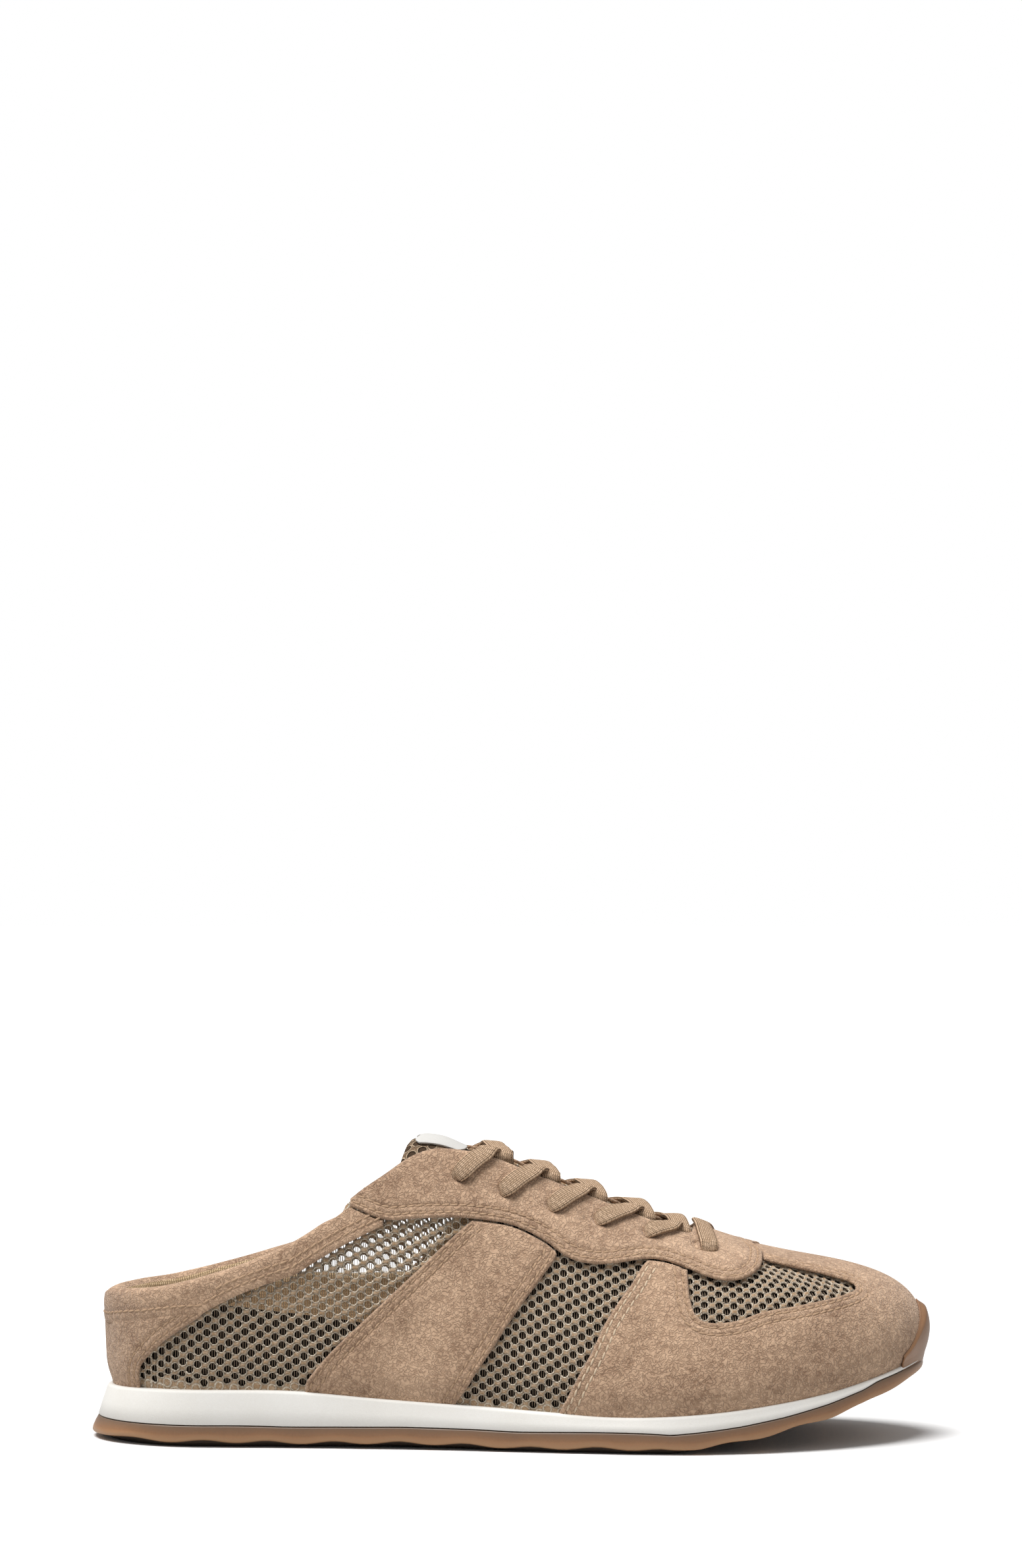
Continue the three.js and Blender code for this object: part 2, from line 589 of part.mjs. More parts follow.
// Collar band: folded over the rim, padded, and turned down inside
function collarGeometry() {
  const shares = [...LAST_STATIONS.filter((along) => along <= COLLAR_TAIL + 1e-6), 0.382, 0.399];
  const face = 2;
  const tail = (along) => table(EYESTAY, 'edge', along) - SEAM;
  const side = (way, along) => {
    const low = collarLow(along);
    const top = openEdge(way, along);
    const lap = lapOf(way, along);
    const full = PADDING / INSTEP_HEIGHT;
    const high = along <= COLLAR_TAIL + 1e-6 ? top - full : tail(along);
    const fullness = 1 - 0.7 * ease((along / COLLAR_TAIL - COLLAR_TAPER) / (1 - COLLAR_TAPER));
    const padding = PADDING * fullness;
    const outer = [];
    const inner = [];
    for (let j = 0; j <= face; j += 1) {
      const girth = low + (high - low) * j / face;
      outer.push(offsetPoint(lap, girth, GAP + SUEDE));
      inner.push(offsetPoint(lap, girth, GAP));
    }
    const within = Math.max(top - COLLAR_FOLD * fullness, 0.03);
    const rimIn = top - full * 1.1;
    const depth = WALL + GAP;
    outer.push(offsetPoint(lap, top - full * 0.3, GAP + SUEDE * 0.6));
    inner.push(offsetPoint(lap, rimIn, GAP * 0.5));
    outer.push(offsetPoint(lap, top, -WALL * 0.5));
    inner.push(offsetPoint(lap, rimIn, -WALL * 0.5));
    outer.push(offsetPoint(lap, top - full * 0.3, -depth - SUEDE * 0.7));
    inner.push(offsetPoint(lap, rimIn, -depth + GAP * 0.5));
    outer.push(offsetPoint(lap, top - full, -depth - padding));
    inner.push(offsetPoint(lap, top - full * 1.2, -depth));
    outer.push(offsetPoint(lap, (top + within) / 2, -depth - padding));
    inner.push(offsetPoint(lap, (top + within) / 2, -depth));
    outer.push(offsetPoint(lap, within, -depth - SUEDE * 0.6));
    inner.push(offsetPoint(lap, within, -depth));
    return { outer, inner };
  };
  const skin = (name) => shares.map((along) => {
    return [...side(LATERAL, along)[name], ...side(MEDIAL, along)[name].reverse()];
  });
  const width = side(MEDIAL, 0).outer.length;
  const folded = (i) => shares[i] < COLLAR_TAIL - 1e-6;
  return solidBetween(skin('outer'), skin('inner'), (i, j) => {
    if (j === width - 1) return false;
    const fromLow = j < width ? j : 2 * width - 2 - j;
    return folded(i) || fromLow < face;
  });
}
piece('collar_band', collarGeometry(), 'suede');

// Side stripes
const stripeShares = stations(0.335, 0.534, 0.03, [0.348, 0.457]);
for (const [name, onLateral] of [['side_stripe_lateral', true], ['side_stripe_medial', false]]) {
  const stripe = region(stripeShares, (along) => {
    const low = edge(STRIPE, 'low', along);
    const high = Math.min(edge(STRIPE, 'high', along), underEyestay(along));
    return spread(low > STRIPE[0].low ? low : BELOW_FEATHER, high, 2);
  }, (along, row, lateral) => lateral === onLateral);
  piece(name, geometryOf(suedeWall.intersect(stripe)), 'suede');
}

// Toe cap with a window on each side and a strip between them under the eyestay's front
const capMarks = [0.603, 0.612, WINDOW_REAR, 0.663, 0.688, 0.711, 0.726, 0.738, 0.752, 0.768, 0.838, WINDOW_FRONT];
const CAP_BELOW = 2;
const CAP_ACROSS = 1;
const capRegion = region(stations(0.539, 1, 0.035, capMarks), (along) => {
  const limit = along >= 0.768 ? 1 : underEyestay(along);
  const high = Math.min(edge(TOE_CAP, 'high', along), limit);
  const low = Math.min(edge(TOE_CAP, 'low', along), high);
  const top = along < 0.738 ? high : Math.max(high, limit);
  return [...spread(BELOW_FEATHER, low, CAP_BELOW), ...spread(low, high, CAP_ACROSS).slice(1),
    ...spread(high, top, 2).slice(1)];
}, (along, row) => {
  const inWindow = along >= WINDOW_REAR - 1e-6 && along < WINDOW_FRONT - 1e-6;
  return !(inWindow && row >= CAP_BELOW && row < CAP_BELOW + CAP_ACROSS);
});
piece('toe_cap', geometryOf(suedeWall.intersect(capRegion)), 'suede');

// Sole: sections from the lateral edge over the top to the medial edge, with the underside beneath
function soleSlab(shares, profile, bottomHeight) {
  const outer = [];
  const inner = [];
  for (const along of shares) {
    const x = lastX(along);
    const rise = (side) => profile(x).map(([out, z]) => outlinePoint(lapOf(side, along), out, z));
    const left = rise(LATERAL);
    const right = rise(MEDIAL).reverse();
    const over = [...left, ...right];
    const under = over.map((_, j) => {
      return left[0].clone().lerp(right.at(-1), j / (over.length - 1)).setZ(bottomHeight(x));
    });
    under[0] = left[0].clone();
    under[over.length - 1] = right.at(-1).clone();
    outer.push(over);
    inner.push(under);
  }
  return solidBetween(outer, inner);
}
const underside = (x) => TOE_SPRING * edge(SOLE, 'lift', x / LENGTH);
const parting = (x) => underside(x) + HEEL_STACK * table(SOLE, 'tread', x / LENGTH);
const footOut = (x) => HEEL_STACK * table(SOLE, 'foot', x / LENGTH);
const heelOut = (x) => HEEL_EDGE * (1 - ease(x / HEEL_ROUND));
const soleStations = stations(0, 1, 0.038, [0.31, 0.49, 0.51, 0.626]);
const midsoleTop = (x) => featherHeight(x) - GAP;
const midsoleFoot = (x) => Math.min(parting(x) + GAP, midsoleTop(x) - MIDSOLE_EDGE);
const treadTop = (x) => midsoleFoot(x) - GAP;

// Insole: a flat sock on the midsole
const insoleSet = -(TUCK + WALL + 2 * GAP);
piece('insole', soleSlab(stations(0, 1, 0.045), (x) => [
  [insoleSet, featherHeight(x)],
  [insoleSet, featherHeight(x) + INSOLE_THICK * 0.75],
  [insoleSet - 1, featherHeight(x) + INSOLE_THICK],
], featherHeight), 'mesh');

// Bumper: the outsole's turned up toe, clear of the toe cap, rooted at a share of the tread's height
const BUMPER_FOOT = 0.4;
const BUMPER_LOW = 0.02;       // girth where its wall begins
const bumperStations = stations(BUMPER[0].at, 1, 0.02);
function bumperGeometry(clear = 0) {
  const start = SUEDE + 2 * GAP - clear;
  const cells = 5;
  const skin = (distance, out) => bumperStations.map((along) => {
    const x = lastX(along);
    const half = (side) => {
      const lap = lapOf(side, along);
      const foot = outlinePoint(lap, out, underside(x) + BUMPER_FOOT * (treadTop(x) - underside(x)));
      const rise = Array.from({ length: cells }, (_, j) => {
        const girth = BUMPER_LOW + (edge(BUMPER, 'top', along) - BUMPER_LOW) * j / (cells - 1);
        return offsetPoint(lap, girth, distance);
      });
      return [foot, ...rise];
    };
    return [...half(LATERAL), ...half(MEDIAL).reverse()];
  });
  const outer = skin(start + BUMPER_THICK + 2 * clear, 0.6 + clear);
  return solidBetween(outer, skin(start, -2 - clear), (i, j) => j !== cells);
}

// Midsole: white foam that flares towards its foot and thins out at the toe
const foam = soleSlab(soleStations, (x) => [
  [footOut(x) * 0.97, midsoleFoot(x)],
  [footOut(x) * 0.35, midsoleTop(x) - 0.6],
  [footOut(x) * 0.15, midsoleTop(x)],
], midsoleFoot);
piece('midsole', geometryOf(solid(foam).subtract(solid(bumperGeometry(GAP)))), 'foam');

// Outsole: rubber with cross grooves, bevelled off beneath its side and turned up round the toe as a bumper
const tread = soleSlab(soleStations, (x) => [
  [footOut(x) - TREAD_INSET, underside(x)],
  [footOut(x) + heelOut(x), Math.max(underside(x) + BEVEL_LEAST, treadTop(x) - SIDE_HEIGHT)],
  [footOut(x), treadTop(x)],
], underside);
const grooveField = soleSlab(soleStations, (x) => [
  [footOut(x) - GROOVE_INSET, underside(x) - GROOVE_DEPTH],
  [footOut(x) - GROOVE_INSET, underside(x) + GROOVE_DEPTH],
], (x) => underside(x) - GROOVE_DEPTH);
function grooves() {
  const cuts = [];
  for (let x = LUG_PITCH; x < LENGTH * 0.93; x += LUG_PITCH) {
    const cut = new THREE.BoxGeometry(GROOVE_WIDTH, 2 * BALL_WIDTH, 2 * GROOVE_DEPTH);
    cut.rotateY(-Math.atan2(underside(x + 1) - underside(x - 1), 2));
    cut.translate(x, 0, underside(x));
    cuts.push(solid(cut));
  }
  return cuts.reduce((all, one) => all.add(one)).intersect(solid(grooveField));
}
piece('outsole', geometryOf(solid(tread).subtract(grooves()).add(solid(bumperGeometry()))), 'rubber');

// Tongue: a padded strip under the eyestay, flatter than the last along its crest
const TONGUE_SINK = WALL + 3 * GAP;
const TONGUE_LEAN = 0.016;     // share of the lap by which its rear corners stand back
const TONGUE_LEAN_TO = 0.5;    // share of the lap where that has died out
const tongueDepth = (along) => INSTEP_HEIGHT * table(TONGUE, 'depth', along);
function tongueSkin(along, side, cells, lift, low) {
  const depth = tongueDepth(along);
  return Array.from({ length: cells + 1 }, (_, j) => {
    const girth = low + (1 - low) * j / cells;
    const fromEdge = clamp((girth - 0.55) / 0.45, 0, 1);
    const lean = clamp((TONGUE_LEAN_TO - along) / (TONGUE_LEAN_TO - TONGUE[0].at), 0, 1);
    const leaned = along - TONGUE_LEAN * (1 - fromEdge) * lean;
    const point = offsetPoint(lapOf(side, leaned), girth, lift - TONGUE_SINK);
    return point.setZ(point.z - (depth - TONGUE_SINK) * ease(fromEdge));
  });
}
function tongueGeometry() {
  const shares = stations(TONGUE[0].at, TONGUE.at(-1).at, 0.026);
  const skin = (lift) => shares.map((along) => {
    const half = (side) => tongueSkin(along, side, 5, lift, table(TONGUE, 'edge', along));
    return [...half(LATERAL), ...half(MEDIAL).reverse().slice(1)];
  });
  return solidBetween(skin(0), skin(-TONGUE_THICK));
}
piece('tongue', tongueGeometry(), 'mesh');

// Tongue label: a bare woven tab over the tongue's rear edge
function labelGeometry() {
  const shares = stations(LABEL_REAR, LABEL_FRONT, 0.016);
  const skin = (lift) => shares.map((along) => {
    const half = (side) => tongueSkin(along, side, 3, lift, LABEL_EDGE);
    return [...half(LATERAL), ...half(MEDIAL).reverse().slice(1)];
  });
  return solidBetween(skin(GAP + LABEL_THICK), skin(GAP));
}
piece('tongue_label', labelGeometry(), 'label');

// Lace along a list of stops on the last: side, share along, share of girth and height over it
function laceGeometry(stops) {
  const points = stops.map((s) => offsetPoint(lapOf(s.side, s.at), s.girth, s.over));
  const normals = stops.map((s) => {
    return offsetPoint(lapOf(s.side, s.at), s.girth, 1).sub(lastPoint(lapOf(s.side, s.at), s.girth)).normalize();
  });
  const curve = new THREE.CatmullRomCurve3(points, false, 'centripetal');
  const steps = 7;
  const rings = [];
  for (let n = 0; n <= steps; n += 1) {
    const t = n / steps;
    const centre = curve.getPoint(t);
    const tangent = curve.getTangent(t);
    const place = t * (stops.length - 1);
    const k = Math.min(Math.floor(place), stops.length - 2);
    const up = normals[k].clone().lerp(normals[k + 1], place - k).normalize();
    const across = new THREE.Vector3().crossVectors(tangent, up).normalize();
    const over = new THREE.Vector3().crossVectors(across, tangent).normalize();
    const ring = [];
    for (const [w, h] of [[-0.5, 0], [-0.36, 0.5], [0.36, 0.5], [0.5, 0]]) {
      ring.push(centre.clone().addScaledVector(across, w * LACE_WIDTH).addScaledVector(over, h * LACE_THICK));
    }
    const under = [];
    for (const [w, h] of [[-0.5, 0], [-0.36, -0.5], [0.36, -0.5], [0.5, 0]]) {
      under.push(centre.clone().addScaledVector(across, w * LACE_WIDTH).addScaledVector(over, h * LACE_THICK));
    }
    rings.push({ ring, under });
  }
  return solidBetween(rings.map((r) => r.ring), rings.map((r) => r.under));
}
const LACE_REST = GAP + SUEDE + GAP + LACE_THICK / 2;
const other = (side) => (side === LATERAL ? MEDIAL : LATERAL);
const overTongue = (along) => GAP + LACE_THICK / 2 - tongueDepth(along);

// How far the upper strand rides over the lower one where they cross, as a share of their thickness
const LACE_HUMP = 0.3;
const LAST_REACH = 0.72;       // the front crossing stops short of the throat's end
// A strand from an eyelet on one side: forward over its own flap, across the tongue, and down at the
// edge of the other flap
function strand(side, k, hump) {
  const from = EYELETS[k];
  const to = EYELETS[k + 1];
  const reach = k === EYELETS.length - 2 ? LAST_REACH : 1;
  const mix = (t) => from.at + (to.at - from.at) * t * reach;
  const crest = overTongue(mix(0.78));
  const rim = openEdge(side, mix(0.56));
  const farRim = openEdge(other(side), mix(0.98));
  return laceGeometry([
    { side, at: mix(0), girth: from.girth, over: LACE_REST },
    { side, at: mix(0.28), girth: (from.girth + rim) / 2, over: LACE_REST + 0.1 * LACE_THICK },
    { side, at: mix(0.56), girth: rim + 0.015, over: LACE_REST + 0.15 * LACE_THICK },
    { side, at: mix(0.78), girth: 1, over: Math.min(crest + LACE_THICK, LACE_REST) + hump },
    { side: other(side), at: mix(0.9), girth: 0.92, over: Math.min(crest + LACE_THICK, LACE_REST - 0.3 * LACE_THICK) + hump },
    { side: other(side), at: mix(0.98), girth: farRim + 0.04, over: -0.2 * LACE_THICK },
  ]);
}
for (let k = 0; k < EYELETS.length - 1; k += 1) {
  const under = solid(strand(LATERAL, k, 0));
  const over = solid(strand(MEDIAL, k, LACE_HUMP * LACE_THICK));
  piece(`lace_crossing_${k + 1}`, geometryOf(under.add(over)), 'lace');
}

// Lace bar across the front pair of eyelets
const front = EYELETS.at(-1);
const barAt = front.at + 0.01;
const barHalf = (side) => [front.girth, 0.82, 0.92].map((girth) => ({ side, at: barAt, girth, over: LACE_REST }));
const barStops = [...barHalf(LATERAL), { side: LATERAL, at: barAt, girth: 1, over: LACE_REST },
  ...barHalf(MEDIAL).reverse()];
piece('lace_bar', laceGeometry(barStops), 'lace');

// Origin at the middle of the footprint
const box = new THREE.Box3().setFromObject(shoe);
const middle = box.getCenter(new THREE.Vector3());
shoe.position.set(-middle.x, -middle.y, -box.min.z);

export default shoe;
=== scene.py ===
import math
import bpy
import numpy as np
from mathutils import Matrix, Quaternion, Vector, geometry, kdtree


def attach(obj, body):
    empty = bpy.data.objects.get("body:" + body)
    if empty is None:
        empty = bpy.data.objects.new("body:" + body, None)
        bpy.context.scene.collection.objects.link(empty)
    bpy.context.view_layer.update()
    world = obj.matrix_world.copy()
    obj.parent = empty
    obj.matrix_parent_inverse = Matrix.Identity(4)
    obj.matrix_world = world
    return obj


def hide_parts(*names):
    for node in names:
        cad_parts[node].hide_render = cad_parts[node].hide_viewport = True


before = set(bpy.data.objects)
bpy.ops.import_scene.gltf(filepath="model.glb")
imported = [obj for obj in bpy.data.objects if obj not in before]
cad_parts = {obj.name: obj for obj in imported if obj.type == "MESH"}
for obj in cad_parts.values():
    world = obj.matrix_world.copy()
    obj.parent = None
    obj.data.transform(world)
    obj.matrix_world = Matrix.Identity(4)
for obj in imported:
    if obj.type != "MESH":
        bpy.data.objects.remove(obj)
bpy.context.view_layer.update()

for loaded in list(bpy.context.selected_objects):
    loaded.select_set(False)

# Last: the form that the upper is pulled over and the sole is cut to, here as a function of a lap and a
# girth. A lap runs 0 at the heel, 1 at the toe on the medial side and 2 at the heel again on the lateral
# side; girth is 0 at the feather line and 1 on the ridge. Millimetres, as the part's own sizes.
LENGTH = 268.0
BALL_WIDTH = 91.0
HEEL_STACK = 17.4
INSTEP_HEIGHT = 103.0
TOE_SPRING = 13.0
HEEL_SET_BACK = 5.4
HEEL_TUCK, HEEL_TUCK_TO = 1.8, 0.25
TOE_SET_BACK = 3.8
HEEL_EDGE = 2.1
TOE_SWING = 6.0
HEEL_ROUND = 33.0
TOE_ROUND = (80.0, 64.0)
HEEL_LEAN = 34.0
TOE_LEAN = 48.0
CREST_ROUND = 0.15
WALL = 2.0
SUEDE = 1.25
GAP = 0.35
MIDDLE = np.array([134.0705, 0.4198, 0.0])
LAST_LENGTH = LENGTH - HEEL_SET_BACK - TOE_SET_BACK
OUTLINE = {
    "at": [0.00, 0.12, 0.26, 0.40, 0.54, 0.67, 0.78, 1.00],
    "lateral": [0.625, 0.640, 0.665, 0.735, 0.865, 0.965, 1.000, 1.000],
    "medial": [0.625, 0.630, 0.585, 0.560, 0.680, 0.850, 0.930, 0.930],
}
FEATHER = {
    "at": [0.00, 0.06, 0.15, 0.25, 0.35, 0.45, 0.55, 0.62, 0.70, 0.80, 0.88, 0.94, 1.00],
    "rise": [0.955, 1.010, 1.030, 1.020, 0.908, 0.816, 0.724, 0.667, 0.701, 0.855, 1.060, 1.300, 1.590],
}
RIDGE = {
    "at": [0.00, 0.12, 0.25, 0.36, 0.45, 0.54, 0.60, 0.66, 0.70, 0.77, 0.82, 0.90, 1.00],
    "rise": [0.885, 0.915, 0.968, 1.006, 0.977, 0.852, 0.773, 0.701, 0.653, 0.586, 0.555, 0.524, 0.496],
    "square": [3.40, 3.00, 2.30, 1.85, 1.70, 1.70, 1.70, 1.80, 1.92, 2.25, 2.55, 3.00, 3.50],
}


def smooth(rows, column, share):
    at, value = np.array(rows["at"]), np.array(rows[column])
    step = np.diff(at)
    rate = np.diff(value) / step
    inner = (rate[:-1] * step[1:] + rate[1:] * step[:-1]) / (step[1:] + step[:-1])
    slope = np.concatenate([rate[:1], inner, rate[-1:]])
    share = np.clip(share, at[0], at[-1])
    k = np.clip(np.searchsorted(at, share) - 1, 0, len(at) - 2)
    h = step[k]
    t = (share - at[k]) / h
    return ((2 * t ** 3 - 3 * t ** 2 + 1) * value[k] + (t ** 3 - 2 * t ** 2 + t) * h * slope[k]
            + (3 * t ** 2 - 2 * t ** 3) * value[k + 1] + (t ** 3 - t ** 2) * h * slope[k + 1])


def straight(rows, column, share):
    return np.interp(share, rows["at"], rows[column])


def ease(v):
    v = np.clip(v, 0, 1)
    return v * v * (3 - 2 * v)


def last_x(along):
    tucked = HEEL_TUCK * (1 - ease(np.asarray(along) / HEEL_TUCK_TO))
    return HEEL_SET_BACK + tucked + LAST_LENGTH * (1 - np.cos(np.pi * along)) / 2


def along_of(x):
    shares = np.linspace(0, 1, 2001)
    return np.interp(x, last_x(shares), shares)


def half_width(x, lateral):
    def rounded(distance, radius):
        return np.sqrt(np.maximum(0, 1 - (1 - np.clip(distance / radius, 0, 1)) ** 2))
    heel, toe = x - HEEL_SET_BACK - HEEL_TUCK, LENGTH - TOE_SET_BACK - x
    wide = [BALL_WIDTH / 2 * smooth(OUTLINE, side, heel / LAST_LENGTH) * rounded(toe, radius)
            for side, radius in zip(("lateral", "medial"), TOE_ROUND)]
    return np.where(lateral, wide[0], wide[1]) * rounded(heel, HEEL_ROUND)


def centre_line(x):
    return TOE_SWING * ease((x / LENGTH - 0.6) / 0.4)


def feather_height(x):
    return HEEL_STACK * smooth(FEATHER, "rise", x / LENGTH)


def last_point(lap, girth):
    lap, girth = np.broadcast_arrays(np.asarray(lap, float), np.asarray(girth, float))
    crossed = girth > 1
    lap = np.where(crossed, 2 - lap, lap) % 2
    girth = np.clip(np.where(crossed, 2 - girth, girth), 0, 1)
    lateral = lap > 1
    along = np.where(lateral, 2 - lap, lap)
    x = last_x(along)
    y = centre_line(x) + np.where(lateral, -1, 1) * half_width(x, lateral)
    z = feather_height(x)
    toeward = np.clip((x / LENGTH - 0.6) / 0.4, 0, 1)
    heelward = np.clip(1 - x / LENGTH / 0.14, 0, 1)
    dx = HEEL_LEAN * heelward ** 2 - TOE_LEAN * toeward ** 2
    dy = 5 * ease((x / LENGTH - 0.45) / 0.4) - y
    reach = np.hypot(dx, dy)
    square = smooth(RIDGE, "square", x / LENGTH)
    angle = girth * np.pi / 2
    wide = np.maximum(0, np.cos(angle))
    soft = (wide ** 2 + CREST_ROUND ** 2) / (1 + CREST_ROUND ** 2)
    inward = 1 - wide * soft ** (1 / square - 0.5)
    upward = np.sin(angle) ** (2 / square)
    ridge = INSTEP_HEIGHT * smooth(RIDGE, "rise", (x + dx * inward) / LENGTH)
    height = (ridge - z) * upward
    tuck = 2 * (1 - np.clip(height / 9, 0, 1)) ** 2
    flare = 2 * np.clip(1 - 4 * x / LENGTH, 0, 1) * np.clip(height / HEEL_STACK / 2, 0, 1.2)
    inset = reach * inward + tuck - flare
    return np.stack([x + dx / reach * inset, y + dy / reach * inset, z + height], -1)


def normal_at(lap, girth):
    lap, girth = np.broadcast_arrays(np.asarray(lap, float), np.asarray(girth, float))
    e = 0.001
    lap = np.where(girth > 1, 2 - lap, lap)
    girth = np.where(girth > 1, 2 - girth, girth)
    turn = lap % 1
    pole = (turn < e) | (turn > 1 - e)
    g = np.maximum(np.where(pole, np.minimum(girth, 0.98), girth), 0)
    across = last_point(lap + e, g) - last_point(lap - e, g)
    up = last_point(lap, g + e) - last_point(lap, np.maximum(g - e, 0))
    n = np.cross(up, across)
    return n / np.linalg.norm(n, axis=-1, keepdims=True)


def over_last(lap, girth, out):
    lap, girth = np.broadcast_arrays(np.asarray(lap, float), np.asarray(girth, float))
    p = last_point(lap, girth) + normal_at(lap, girth) * np.asarray(out, float)[..., None]
    p[..., 2] += np.minimum(girth, 0) * INSTEP_HEIGHT
    return p


def rim_point(lap, out, z):
    e = 0.001
    a, b = last_point(lap - e, 0), last_point(lap + e, 0)
    n = np.stack([a[..., 1] - b[..., 1], b[..., 0] - a[..., 0]], -1)
    n /= np.linalg.norm(n, axis=-1, keepdims=True)
    lateral = (np.asarray(lap) % 2) > 1
    along = np.where(lateral, 2 - np.asarray(lap) % 2, np.asarray(lap) % 2)
    x = last_x(along)
    y = centre_line(x) + np.where(lateral, -1, 1) * half_width(x, lateral)
    return np.stack([x + n[..., 0] * out, y + n[..., 1] * out, z + 0 * x], -1)


def new_piece(name, points, faces, material, smooth_shade=True):
    mesh = bpy.data.meshes.new(name)
    mesh.from_pydata(((np.asarray(points) - MIDDLE) / 1000).tolist(), [], [list(map(int, f)) for f in faces])
    mesh.validate()
    piece = bpy.data.objects.new(name, mesh)
    bpy.context.collection.objects.link(piece)
    for m in material if isinstance(material, (list, tuple)) else [material]:
        mesh.materials.append(m)
    if smooth_shade:
        mesh.shade_smooth()
    return piece


def alone(piece):
    for other in list(bpy.context.selected_objects):
        other.select_set(False)
    piece.select_set(True)
    bpy.context.view_layer.objects.active = piece


def outward(piece):
    alone(piece)
    bpy.ops.object.mode_set(mode="EDIT")
    bpy.ops.mesh.select_all(action="SELECT")
    bpy.ops.mesh.remove_doubles(threshold=0.00001)
    bpy.ops.mesh.normals_make_consistent(inside=False)
    bpy.ops.object.mode_set(mode="OBJECT")
    piece.select_set(False)


def finished(piece, node):
    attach(piece, "root")
    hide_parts(node)


def colour(code):
    value = [int(code[k:k + 2], 16) / 255 for k in (0, 2, 4)]
    return [v / 12.92 if v <= 0.04045 else ((v + 0.055) / 1.055) ** 2.4 for v in value] + [1.0]


def material(name, base, rough, specular=0.5):
    m = bpy.data.materials.new(name)
    m.use_nodes = True
    shader = m.node_tree.nodes["Principled BSDF"]
    shader.inputs["Base Color"].default_value = colour(base)
    shader.inputs["Roughness"].default_value = rough
    shader.inputs["Specular IOR Level"].default_value = specular
    return m, m.node_tree, shader


def node(tree, kind, **values):
    n = tree.nodes.new(kind)
    for key, value in values.items():
        if hasattr(n, key):
            setattr(n, key, value)
        else:
            n.inputs[key.replace("_", " ")].default_value = value
    return n


# Grain: uneven dye and fine relief, shared by rubber, foam, sock and thread. It takes a colour, its darker
# shade, the size of the fine grain and of the clouds and the share of each, and gives colour and height.
grain = bpy.data.node_groups.new("grain", "ShaderNodeTree")
for label, kind in (("Colour", "Color"), ("Dark", "Color"), ("Fine", "Float"), ("Cloud", "Float"),
                    ("Fine share", "Float"), ("Cloud share", "Float")):
    grain.interface.new_socket(label, in_out="INPUT", socket_type="NodeSocket" + kind)
grain.interface.new_socket("Colour", in_out="OUTPUT", socket_type="NodeSocketColor")
grain.interface.new_socket("Height", in_out="OUTPUT", socket_type="NodeSocketFloat")
g_in, g_out = grain.nodes.new("NodeGroupInput"), grain.nodes.new("NodeGroupOutput")
where = grain.nodes.new("ShaderNodeTexCoord")
fine = node(grain, "ShaderNodeTexNoise", Detail=4.0, Roughness=0.6, Distortion=1.2)
cloud = node(grain, "ShaderNodeTexNoise", Detail=3.0, Roughness=0.5, Distortion=0.4)
for n, size in ((fine, "Fine"), (cloud, "Cloud")):
    grain.links.new(where.outputs["Object"], n.inputs["Vector"])
    grain.links.new(g_in.outputs[size], n.inputs["Scale"])


def spread_to(tree, source, low, high):
    m = node(tree, "ShaderNodeMapRange")
    m.inputs["From Min"].default_value = low
    m.inputs["From Max"].default_value = high
    tree.links.new(source, m.inputs["Value"])
    return m.outputs["Result"]


def times(tree, a, b, operation="MULTIPLY"):
    m = node(tree, "ShaderNodeMath", operation=operation)
    for socket, value in zip(m.inputs, (a, b)):
        if isinstance(value, (int, float)):
            socket.default_value = value
        else:
            tree.links.new(value, socket)
    return m.outputs[0]


def blend(tree, share, a, b):
    m = node(tree, "ShaderNodeMix", data_type="RGBA")
    tree.links.new(share, m.inputs["Factor"])
    for socket, value in zip((m.inputs[6], m.inputs[7]), (a, b)):
        if isinstance(value, (list, tuple)):
            socket.default_value = value
        else:
            tree.links.new(value, socket)
    return m.outputs[2]


fine_share = times(grain, spread_to(grain, fine.outputs["Fac"], 0.32, 0.68), g_in.outputs["Fine share"])
cloud_share = times(grain, spread_to(grain, cloud.outputs["Fac"], 0.3, 0.7), g_in.outputs["Cloud share"])
both = times(grain, fine_share, cloud_share, "ADD")
grain.links.new(blend(grain, both, g_in.outputs["Colour"], g_in.outputs["Dark"]), g_out.inputs["Colour"])
grain.links.new(fine.outputs["Fac"], g_out.inputs["Height"])


def raised(tree, shader, height, depth, strength=1.0):
    bump = node(tree, "ShaderNodeBump", Strength=strength, Distance=depth)
    tree.links.new(height, bump.inputs["Height"])
    tree.links.new(bump.outputs["Normal"], shader.inputs["Normal"])


def grained(name, base, dark, rough, fine_size, cloud_size, fine_part, cloud_part, depth, specular=0.5):
    m, tree, shader = material(name, base, rough, specular)
    group = tree.nodes.new("ShaderNodeGroup")
    group.node_tree = grain
    for key, value in (("Colour", colour(base)), ("Dark", colour(dark)), ("Fine", fine_size),
                       ("Cloud", cloud_size), ("Fine share", fine_part), ("Cloud share", cloud_part)):
        group.inputs[key].default_value = value
    tree.links.new(group.outputs["Colour"], shader.inputs["Base Color"])
    raised(tree, shader, group.outputs["Height"], depth)
    return m, tree, shader


